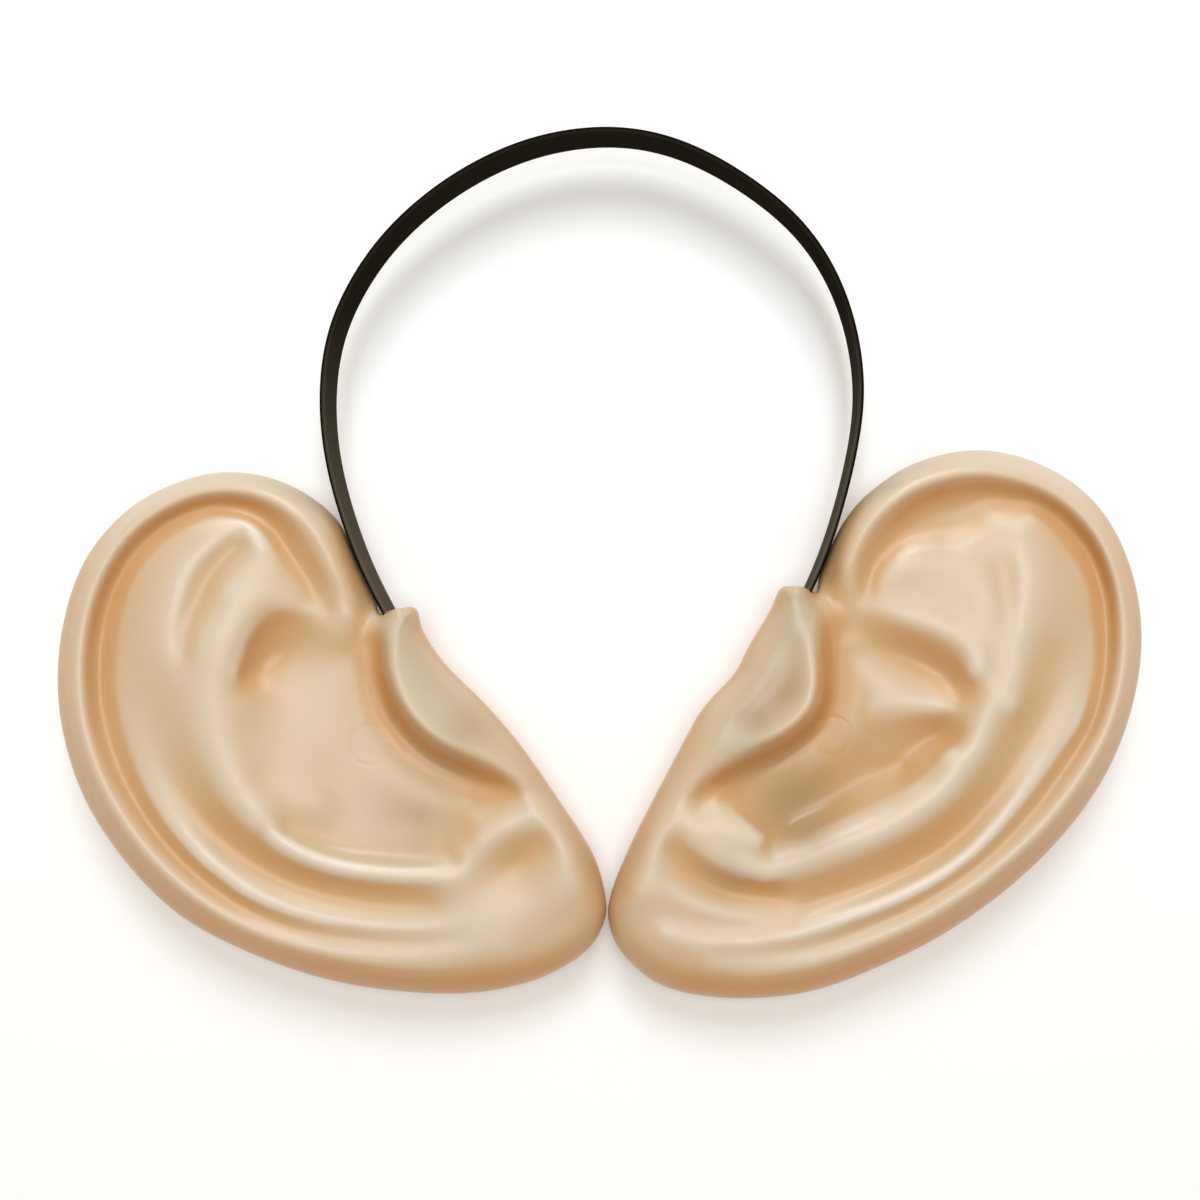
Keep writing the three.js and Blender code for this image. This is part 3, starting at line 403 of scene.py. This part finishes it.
            (91.6, 12.2, 22.9), (94, 9.4, 23.2), (96, 5.6, 23.7), (97.8, 1.2, 24.2), (99, -4.6, 24.7)]),
        "floor in the shade of the tragus": (2.5, [
            (59.8, -11, 19.2), (60, -18, 18.6), (59.6, -25, 18.1), (56.6, -32.2, 17.6),
            (51.2, -37.6, 17.2), (45, -41.4, 17.1), (38.4, -44.6, 17.5), (32.4, -47.4, 18.6)]),
    },
}

# Band rows: x and y of its outer upper edge, from the tip in the left ear over the crown to the right
BAND_LINE = [
    (-37, -31), (-42.2, -24), (-48.8, -14), (-54.8, -3), (-60, 6.8), (-64.8, 19.5), (-68.8, 33.8),
    (-70.5, 49.5),
    (-68.8, 66.2), (-63, 79.8), (-53.8, 92.8), (-40, 104.8), (-25, 113.2), (-12.5, 117.2), (0, 118.8),
    (12.5, 117.8), (25, 113.5), (37.5, 106.2), (50, 96.2), (58.8, 83.8), (64.2, 69.5), (66.5, 53), (65, 40),
    (61.8, 25.8), (57.5, 12), (53.2, 2), (47.5, -9), (41.2, -21.2), (34.5, -35),
]

# Shapes


def line_through(rows, closed, steps):
    """Smooth line through the rows of a table, with every column carried along."""
    p = np.array(rows, float)
    if closed:
        p = np.vstack([p[-1], p, p[:2]])
    else:
        p = np.vstack([2 * p[0] - p[1], p, 2 * p[-1] - p[-2]])
    before, start, end, after = p[:-3], p[1:-2], p[2:-1], p[3:]
    t = (np.arange(steps) / steps)[None, :, None]
    rise = (end - start)[:, None]
    slope_in = ((end - before) / 2)[:, None]
    slope_out = ((after - start) / 2)[:, None]
    bend = 3 * rise - 2 * slope_in - slope_out
    twist = slope_in + slope_out - 2 * rise
    line = (start[:, None] + t * (slope_in + t * (bend + t * twist))).reshape(-1, p.shape[1])
    return line if closed else np.vstack([line, p[-2]])


def spaced(line, spacing):
    """Points at even distances along a line, with every column carried along."""
    reach = np.r_[0, np.cumsum(np.hypot(*np.diff(line[:, :2], axis=0).T))]
    wanted = np.linspace(0, reach[-1], max(2, round(reach[-1] / spacing) + 1))
    return np.column_stack([np.interp(wanted, reach, column) for column in line.T])


def nearest_on(line, points):
    """Distance from each point to an open line of points, and the line's last column at the nearest place."""
    best = np.full(len(points), np.inf)
    value = np.zeros(len(points))
    for start, end in zip(line[:-1], line[1:]):
        run = end[:2] - start[:2]
        t = np.clip((points - start[:2]) @ run / max(run @ run, TINY), 0, 1)
        distance = np.hypot(*(points - start[:2] - t[:, None] * run).T)
        closer = distance < best
        best[closer] = distance[closer]
        value[closer] = (start[-1] + t * (end[-1] - start[-1]))[closer]
    return best, value


def blurred(grid, radius):
    """A grid smoothed with a bell of the given radius in cells."""
    tail = math.ceil(BELL_TAIL * radius)
    bell = np.exp(-0.5 * (np.arange(-tail, tail + 1) / radius) ** 2)
    bell /= bell.sum()
    wide = np.pad(grid, tail, mode="edge")
    wide = np.apply_along_axis(np.convolve, 0, wide, bell, "valid")
    return np.apply_along_axis(np.convolve, 1, wide, bell, "valid")


def sampled(low, grid, points):
    """Values of a grid at points between its cells."""
    at = np.clip((points - low) / GRID_STEP, 0, np.array(grid.shape) - LAST_CELL)
    i, j = at.astype(int).T
    u, v = (at - at.astype(int)).T
    near = grid[i, j] * (1 - u) + grid[i + 1, j] * u
    far = grid[i, j + 1] * (1 - u) + grid[i + 1, j + 1] * u
    return near * (1 - v) + far * v


def smoothly_sampled(low, grid, points):
    """Values of a grid at points between its cells, with no kinks at the cells' edges."""
    at = np.clip((points - low) / GRID_STEP, 1, np.array(grid.shape) - LAST_SMOOTH_CELL)
    cell = at.astype(int)
    t = at - cell
    weights = [-0.5 * t + t**2 - 0.5 * t**3, 1 - 2.5 * t**2 + 1.5 * t**3,
               0.5 * t + 2 * t**2 - 1.5 * t**3, -0.5 * t**2 + 0.5 * t**3]
    value = np.zeros(len(points))
    for i, along in enumerate(weights):
        for j, across in enumerate(weights):
            value += along[:, 0] * across[:, 1] * grid[cell[:, 0] + i - 1, cell[:, 1] + j - 1]
    return value


class Skin:
    """A soft sheet pinned to every fold line, turned down in a quarter round at its edge."""

    def __init__(self, ear):
        outline = line_through(ear["outline"], True, EDGE_LINE_STEPS)
        self.edge = np.vstack([outline, outline[:1]])
        rim = spaced(self.edge, EDGE_PIN_SPACING)[:-1]
        pins = [np.column_stack([rim[:, :2], rim[:, 2] + rim[:, 3], np.full(len(rim), EDGE_SOFTNESS)])]
        for softness, line in ear["folds"].values():
            points = spaced(line_through(line, False, FOLD_LINE_STEPS), PIN_SPACING)
            pins.append(np.column_stack([points, np.full(len(points), softness)]))
        self.pins = np.vstack(pins)
        count = len(self.pins)
        matrix = np.ones((count + 1, count + 1))
        matrix[:count, :count] = self.reach(self.pins[:, :2]) - FOLD_EASE * np.eye(count)
        matrix[count, count] = 0
        weights = np.linalg.solve(matrix, np.r_[self.pins[:, 2], 0])
        self.low = self.edge[:, :2].min(0) - GRID_MARGIN
        size = np.ceil((self.edge[:, :2].max(0) + GRID_MARGIN - self.low) / GRID_STEP).astype(int) + 1
        cells = self.low + np.indices(size).reshape(2, -1).T * GRID_STEP
        batches = np.array_split(cells, len(cells) // GRID_BATCH + 1)
        sheet = np.concatenate([self.reach(batch) @ weights[:-1] for batch in batches]) + weights[-1]
        self.sheet = blurred(sheet.reshape(size), FOLD_ROUNDING / GRID_STEP)
        self.mark = np.array(ear["mould mark"], float)
        self.grid = self.height(cells).reshape(size)

    def reach(self, points):
        """How far each pin acts on each point: its distance, eased by the softness of its fold."""
        along = points[:, None, 0] - self.pins[None, :, 0]
        across = points[:, None, 1] - self.pins[None, :, 1]
        return np.sqrt(along**2 + across**2 + self.pins[None, :, 3] ** 2)

    def height(self, points):
        """Heights of the skin at points of the chart, with the mould mark and the turned edge."""
        distance, radius = nearest_on(self.edge, points)
        short = np.maximum(0, radius - distance)
        off_ring = np.hypot(*(points - self.mark[:2]).T) - self.mark[2]
        mark = self.mark[3] * np.exp(-((off_ring / MARK_WIDTH) ** 2))
        return smoothly_sampled(self.low, self.sheet, points) - mark - radius + np.sqrt(radius**2 - short**2)


def underside(low, grid, points):
    """The deepest that a ball of the wall's radius hangs under the skin."""
    depth = sampled(low, grid, points) - WALL
    for share in LINING_REACHES:
        drop = WALL * math.sqrt(1 - share**2)
        for turn in np.arange(LINING_TURNS) * 2 * math.pi / LINING_TURNS:
            step = WALL * share * np.array([math.cos(turn), math.sin(turn)])
            depth = np.minimum(depth, sampled(low, grid, points + step) - drop)
    return depth


def settled(points, scale_height, z):
    """Chart points in the object's frame, in metres, drawn to the scale of one height and put at another."""
    scale = (EYE_HEIGHT - scale_height) / (EYE_HEIGHT - CHART_HEIGHT)
    place = points * np.reshape(scale, (-1, 1)) - MIDDLE
    return np.column_stack([place, z]) * MM


def drawn_in(outline, middle, distance):
    """Outline points moved in along their spokes until they are a given distance inside the edge."""
    tangent = np.roll(outline, -1, 0)[:, :2] - np.roll(outline, 1, 0)[:, :2]
    tangent /= np.linalg.norm(tangent, axis=1, keepdims=True)
    spoke = middle - outline[:, :2]
    spoke /= np.linalg.norm(spoke, axis=1, keepdims=True)
    squareness = np.abs(tangent[:, 0] * spoke[:, 1] - tangent[:, 1] * spoke[:, 0])
    return outline[:, :2] + spoke * (distance / np.maximum(LEAST_SQUARENESS, squareness))[:, None]


def new_mesh(name, points, faces):
    """A smooth object from points in metres and faces of their numbers."""
    mesh = bpy.data.meshes.new(name)
    mesh.from_pydata(points.tolist(), [], faces)
    mesh.polygons.foreach_set("use_smooth", np.ones(len(mesh.polygons), bool))
    mesh.update()
    piece = bpy.data.objects.new(name, mesh)
    bpy.context.scene.collection.objects.link(piece)
    return piece


def ring_faces(around, rings):
    """Faces of a closed skin: a first pole, rings of points in order, and a last pole."""
    i = np.arange(around)
    j = (i + 1) % around
    faces = [(0, 1 + a, 1 + b) for a, b in zip(i, j)]
    for ring in range(rings - 1):
        a, b = 1 + ring * around, 1 + (ring + 1) * around
        faces += np.column_stack([a + i, b + i, b + j, a + j]).tolist()
    end = 1 + (rings - 1) * around
    faces += [(1 + rings * around, end + b, end + a) for a, b in zip(i, j)]
    return faces


def paint(piece, name, values):
    """Store a value at the first points of a piece, and zero at the rest."""
    stored = np.zeros(len(piece.data.vertices), np.float32)
    stored[:len(values)] = values
    piece.data.attributes.new(name, "FLOAT", "POINT").data.foreach_set("value", stored)


def hollowness(grid):
    """How far each cell of the skin lies below the skin around it, in millimetres."""
    below = np.zeros(grid.shape)
    for reach, share in HOLLOW_REACHES:
        below += share * (blurred(grid, round(reach / GRID_STEP)) - grid)
    return below


def shelter(grid, reaches):
    """Share of the sky that the skin itself hides from each cell, counted more towards the crown where the
    key light stands; it drives the painted shade.
    """
    margin = round(max(reaches) / GRID_STEP)
    wide = np.pad(grid, margin, mode="edge")
    rows, columns = grid.shape
    hidden = np.zeros(grid.shape)
    for turn in np.arange(SHELTER_DIRECTIONS) * 2 * math.pi / SHELTER_DIRECTIONS:
        steepest = np.zeros(grid.shape)
        for reach in reaches:
            i = margin + round(reach * math.cos(turn) / GRID_STEP)
            j = margin + round(reach * math.sin(turn) / GRID_STEP)
            steepest = np.maximum(steepest, (wide[i:i + rows, j:j + columns] - grid) / reach)
        weight = 1 + CROWN_SHARE * math.sin(turn)
        hidden += weight * steepest / np.sqrt(1 + steepest**2)
    return blurred(hidden / SHELTER_DIRECTIONS, SHELTER_ROUNDING)


def between(values, low, high):
    """Values as a share of the way from low to high, held between 0 and 1."""
    return np.clip((values - low) / (high - low), 0, 1)


def distance_to_band(chart, ear, low_y, high_y):
    """Distance from chart points to the stretch of the strip between two y, on the ear's own side."""
    stretch = [row for row in BAND_LINE if low_y < row[1] < high_y and row[0] * ear["middle"][0] > 0]
    distance, _ = nearest_on(line_through(stretch, False, BAND_GUIDE_STEPS), chart)
    return distance


def paint_ear(piece, ear, skin, chart, chart_z, around):
    """Paint what the tints of the vinyl follow, mostly painted shade and painted highlights; the sides take
    the painted shade of the edge above them.
    """
    low, grid = skin.low, skin.grid
    within, _ = nearest_on(skin.edge, chart)
    inland = between(within, *RIM_FADE)
    hollow = sampled(low, hollowness(grid), chart)
    deep = shelter(grid, FAR_REACHES)

    rise_x, rise_y = np.gradient(blurred(grid, SLOPE_REACH / GRID_STEP), GRID_STEP)
    rise = np.hypot(rise_x, rise_y)
    steep = between(rise, *STEEP_SLOPES)
    facing = rise_y / np.sqrt(1 + rise**2)
    hidden = shelter(grid, NEAR_REACHES) + FAR_SHARE * deep + STEEP_SHARE * steep
    beside = distance_to_band(chart, ear, *BESIDE_SPAN)
    # Painted shade: cells sheltered from the sky, slopes facing away from the key light at the crown, steep
    # walls and vinyl beside the band are painted darker and warmer
    painted_shade = sampled(low, hidden, chart) * np.clip(within / RIM_TURN, RIM_TINT, 1)
    painted_shade += LEE_SHARE * sampled(low, facing**LEE_POWER, chart)
    painted_shade += BESIDE_SHARE * np.clip(1 - beside / BAND_BESIDE, 0, 1) * (chart_z < BAND_TOP + BESIDE_RISE)
    sides = np.tile(painted_shade[-around:], 2 * len(SIDE_WALL))

    # Painted shade in patches, where hollows and the lower concha look darker
    olive = np.zeros(len(chart))
    for x, y, reach, strength in ear["painted shade patches"]:
        off = np.hypot(chart[:, 0] - x, chart[:, 1] - y)
        olive += strength * np.exp(-((off / reach) ** 2))

    above_band = distance_to_band(chart, ear, -math.inf, BAND_ENTRY)
    raised = np.clip((chart_z - BAND_TOP) / BAND_COVER, 0, 1)
    dished = 1 + np.clip(hollow / DISH_DEPTH, 0, 1)
    clear = np.clip(above_band / TRAGUS_CLEAR - 1, 0, 1)
    # Crests standing above the skin around them get a painted highlight
    crest = sampled(low, grid - blurred(grid, RIDGE_REACH / GRID_STEP), chart)

    paint(piece, "hollow", hollow)
    paint(piece, "painted_shade", np.r_[painted_shade, sides])
    # Far shelter, painted as shade deep in the folds
    paint(piece, "depth", sampled(low, deep, chart) * inland)
    paint(piece, "olive", olive)
    paint(piece, "band_behind", raised * dished * np.exp(-((above_band / BAND_SHOW_THROUGH) ** 2)))
    paint(piece, "ridge", crest * (inland * clear))


def ear_piece(name, ear):
    """One ear as a closed shell: its front, side wall, lining of the wall and back of the front."""
    skin = Skin(ear)
    low, grid = skin.low, skin.grid
    middle = np.array(ear["middle"], float)
    outline = line_through(ear["outline"], True, STEPS_PER_EDGE_ROW)
    following = np.roll(outline, -1, 0)
    if (outline[:, 0] * following[:, 1] - following[:, 0] * outline[:, 1]).sum() < 0:
        outline = outline[::-1]
    around = len(outline)
    inner = drawn_in(outline, middle, WALL)
    shares = np.linspace(0, 1, FRONT_RINGS, endpoint=False) ** RING_CROWDING
    back_shares = np.linspace(0, 1, BACK_RINGS, endpoint=False) ** RING_CROWDING

    front = np.vstack([outline[:, :2] + share * (middle - outline[:, :2]) for share in shares[::-1]])
    chart = np.vstack([middle[None], front])
    chart_z = skin.height(chart)
    chart_z[-around:] = outline[:, 2]
    back = np.vstack([inner + share * (middle - inner) for share in back_shares] + [middle[None]])
    wall = []
    lining = []
    for tuck, share in SIDE_WALL:
        height = outline[:, 2] * share
        wall.append(settled(drawn_in(outline, middle, tuck), outline[:, 2], height))
        lining.insert(0, settled(drawn_in(outline, middle, tuck + WALL), outline[:, 2], height))
    back_z = underside(low, grid, back)
    points = np.vstack([
        settled(chart, chart_z, chart_z), *wall, *lining, settled(back, sampled(low, grid, back), back_z)])
    piece = new_mesh(name, points, ring_faces(around, FRONT_RINGS + 2 * len(SIDE_WALL) + BACK_RINGS))
    paint_ear(piece, ear, skin, chart, chart_z, around)
    return piece


def eased(line):
    """A line with its small kinks smoothed out and its ends kept."""
    for _ in range(BAND_EASING):
        line = np.vstack([line[:1], (line[:-2] + 2 * line[1:-1] + line[2:]) / 4, line[-1:]])
    return line


def band_section():
    """Points around the strip's rounded cross section: how far out, and how far up."""
    half_out = BAND_THICKNESS / 2 - BAND_CORNER
    half_up = BAND_WIDTH / 2 - BAND_CORNER
    section = []
    for corner, (out, up) in enumerate([(1, -1), (-1, -1), (-1, 1), (1, 1)]):
        for step in range(BAND_CORNER_STEPS + 1):
            turn = -corner * math.pi / 2 - step * math.pi / 2 / BAND_CORNER_STEPS
            across = out * half_out + BAND_CORNER * math.cos(turn)
            along = up * half_up + BAND_CORNER * math.sin(turn)
            section.append((across, along))
    return np.array(section)


def band_piece(name):
    """The strip, swept along its upper edge, with light painted on its inner face where the vinyl would light
    it.
    """
    line = eased(spaced(line_through(BAND_LINE, False, STEPS_PER_BAND_ROW), BAND_STEP))
    path = settled(line, BAND_TOP, np.full(len(line), BAND_TOP)) / MM
    run = np.gradient(path, axis=0)
    run /= np.linalg.norm(run, axis=1, keepdims=True)
    out = np.column_stack([-run[:, 1], run[:, 0], np.zeros(len(run))])
    up = np.array([-math.sin(BAND_LEAN), 0, math.cos(BAND_LEAN)])
    centre = path - out * BAND_THICKNESS / 2 - up * BAND_WIDTH / 2
    section = band_section()
    rings = centre[:, None] + section[None, :, :1] * out[:, None] + section[None, :, 1:] * up
    points = np.vstack([centre[:1], rings.reshape(-1, 3), centre[-1:]]) * MM
    piece = new_mesh(name, points, ring_faces(len(section), len(path)))
    inner = np.outer(np.clip(1 - path[:, 1] / BAND_LIT, BAND_DIM, 1), section[:, 0] < 0)
    paint(piece, "inner", np.r_[0, inner.ravel(), 0])
    return piece


# Materials


def material(name, **values):
    """A new material with constants set on its shader; underscores stand for spaces in their names."""
    made = bpy.data.materials.new(name)
    made.use_nodes = True
    shader = made.node_tree.nodes["Principled BSDF"]
    for socket, value in values.items():
        shader.inputs[socket.replace("_", " ")].default_value = value
    return made, made.node_tree, shader


def node(tree, kind, **values):
    made = tree.nodes.new(kind)
    for name, value in values.items():
        if name in made.inputs:
            made.inputs[name].default_value = value
        else:
            setattr(made, name, value)
    return made


def painted(tree, name):
    return node(tree, "ShaderNodeAttribute", attribute_name=name).outputs["Fac"]


def noise(tree, **values):
    made = node(tree, "ShaderNodeTexNoise", **values)
    tree.links.new(node(tree, "ShaderNodeTexCoord").outputs["Object"], made.inputs["Vector"])
    return made.outputs["Fac"]


def ramp(tree, source, stops):
    made = node(tree, "ShaderNodeValToRGB")
    while len(made.color_ramp.elements) < len(stops):
        made.color_ramp.elements.new(0.5)
    for element, (position, colour) in zip(made.color_ramp.elements, stops):
        element.position = position
        element.color = (*colour, 1)
    tree.links.new(source, made.inputs["Fac"])
    return made.outputs["Color"]


def mapped(tree, source, low, high, to_low, to_high):
    made = node(tree, "ShaderNodeMapRange")
    made.inputs["From Min"].default_value = low
    made.inputs["From Max"].default_value = high
    made.inputs["To Min"].default_value = to_low
    made.inputs["To Max"].default_value = to_high
    tree.links.new(source, made.inputs["Value"])
    return made.outputs["Result"]


# Numbers of a colour mix's sockets
MIX_FACTOR, MIX_FIRST, MIX_SECOND, MIX_RESULT = 0, 6, 7, 2


def tinted(tree, colour, share, tint):
    made = node(tree, "ShaderNodeMix", data_type="RGBA")
    tree.links.new(share, made.inputs[MIX_FACTOR])
    tree.links.new(colour, made.inputs[MIX_FIRST])
    made.inputs[MIX_SECOND].default_value = (*tint, 1)
    return made.outputs[MIX_RESULT]


def grained(tree, shader, grain, roughness, strength, height):
    """Let a grain vary the roughness of a surface between two values, and raise it a little."""
    tree.links.new(mapped(tree, grain, *GRAIN_SPAN, *roughness), shader.inputs["Roughness"])
    bump = node(tree, "ShaderNodeBump", Strength=strength, Distance=height)
    tree.links.new(grain, bump.inputs["Height"])
    tree.links.new(bump.outputs["Normal"], shader.inputs["Normal"])


def vinyl_material():
    made, tree, shader = material(
        "ear_vinyl", Roughness=0.38, IOR=1.46,
        Subsurface_Weight=0.5, Subsurface_Scale=0.004, Subsurface_Radius=(1.0, 0.35, 0.14))
    # The painted shade sets the vinyl's colour; painted deep shade, painted highlights, the strip seen
    # through it and patches of painted shade are laid over it
    colour = ramp(tree, painted(tree, "painted_shade"), VINYL_PAINTED_SHADE)
    for name, start, full, share, tint in VINYL_TINTS:
        colour = tinted(tree, colour, mapped(tree, painted(tree, name), start, full, 0.0, share), tint)
    cloud = noise(tree, Scale=38.0, Detail=3.0, Roughness=0.55)
    colour = tinted(tree, colour, mapped(tree, cloud, *CLOUD_SPAN, 0.0, CLOUD_SHARE), VINYL_CLOUD)
    tree.links.new(colour, shader.inputs["Base Color"])
    fine = noise(tree, Scale=620.0, Detail=4.0, Roughness=0.6)
    grained(tree, shader, fine, roughness=(0.3, 0.39), strength=0.05, height=0.0004)
    return made


def band_material():
    made, tree, shader = material("band_plastic", Roughness=0.42, IOR=1.45, Specular_IOR_Level=0.0)
    grain = noise(tree, Scale=160.0, Detail=5.0, Roughness=0.6)
    # The inner face is painted paler, as lit by the vinyl near the ears
    colour = tinted(tree, ramp(tree, grain, BAND_MOTTLE), painted(tree, "inner"), BAND_INNER_BOUNCE_LIGHT)
    tree.links.new(colour, shader.inputs["Base Color"])
    grained(tree, shader, grain, roughness=(0.34, 0.5), strength=0.04, height=0.0003)
    return made


# Pieces

ear_vinyl = vinyl_material()
for side, ear in (("left", LEFT_EAR), ("right", RIGHT_EAR)):
    shell = ear_piece(f"ear_{side}_shell", ear)
    shell.data.materials.append(ear_vinyl)
    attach(shell, "root")
    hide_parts(f"ear_{side}")

strip = band_piece("headband_strip")
strip.data.materials.append(band_material())
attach(strip, "root")
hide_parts("headband")

# Floor, light and camera

floor_corners = np.array([(-1, -1, 0), (1, -1, 0), (1, 1, 0), (-1, 1, 0)]) * FLOOR_HALF
floor = new_mesh("floor", floor_corners - (0, 0, FLOOR_DROP), [(0, 1, 2, 3)])
floor_material, _, _ = material("floor", Roughness=0.85, Base_Color=(*FLOOR, 1))
floor.data.materials.append(floor_material)

for name, place, size, watts in LIGHTS:
    lamp = bpy.data.lights.new(name, "AREA")
    lamp.shape = "DISK"
    lamp.size = size
    lamp.energy = watts
    lamp.color = LIGHT_COLOUR
    light = bpy.data.objects.new(name, lamp)
    bpy.context.scene.collection.objects.link(light)
    light.location = place
    aim = Vector([end - start for start, end in zip(place, LIGHT_TARGET)])
    light.rotation_euler = aim.to_track_quat("-Z", "Y").to_euler()

world = bpy.data.worlds.new("studio")
world.use_nodes = True
room = world.node_tree.nodes["Background"]
room.inputs["Color"].default_value = ROOM_COLOUR
room.inputs["Strength"].default_value = ROOM_STRENGTH
bpy.context.scene.world = world
bpy.context.scene.view_settings.view_transform = "Standard"

lens = bpy.data.cameras.new("photo_view")
lens.sensor_width = SENSOR_WIDTH
lens.lens = SENSOR_WIDTH * (EYE_HEIGHT - CHART_HEIGHT) / CHART_WIDTH
lens.clip_start = NEAREST_VIEW
camera = bpy.data.objects.new("photo_view", lens)
bpy.context.scene.collection.objects.link(camera)
camera.location = (-MIDDLE[0] * MM, -MIDDLE[1] * MM, EYE_HEIGHT * MM)
bpy.context.scene.camera = camera
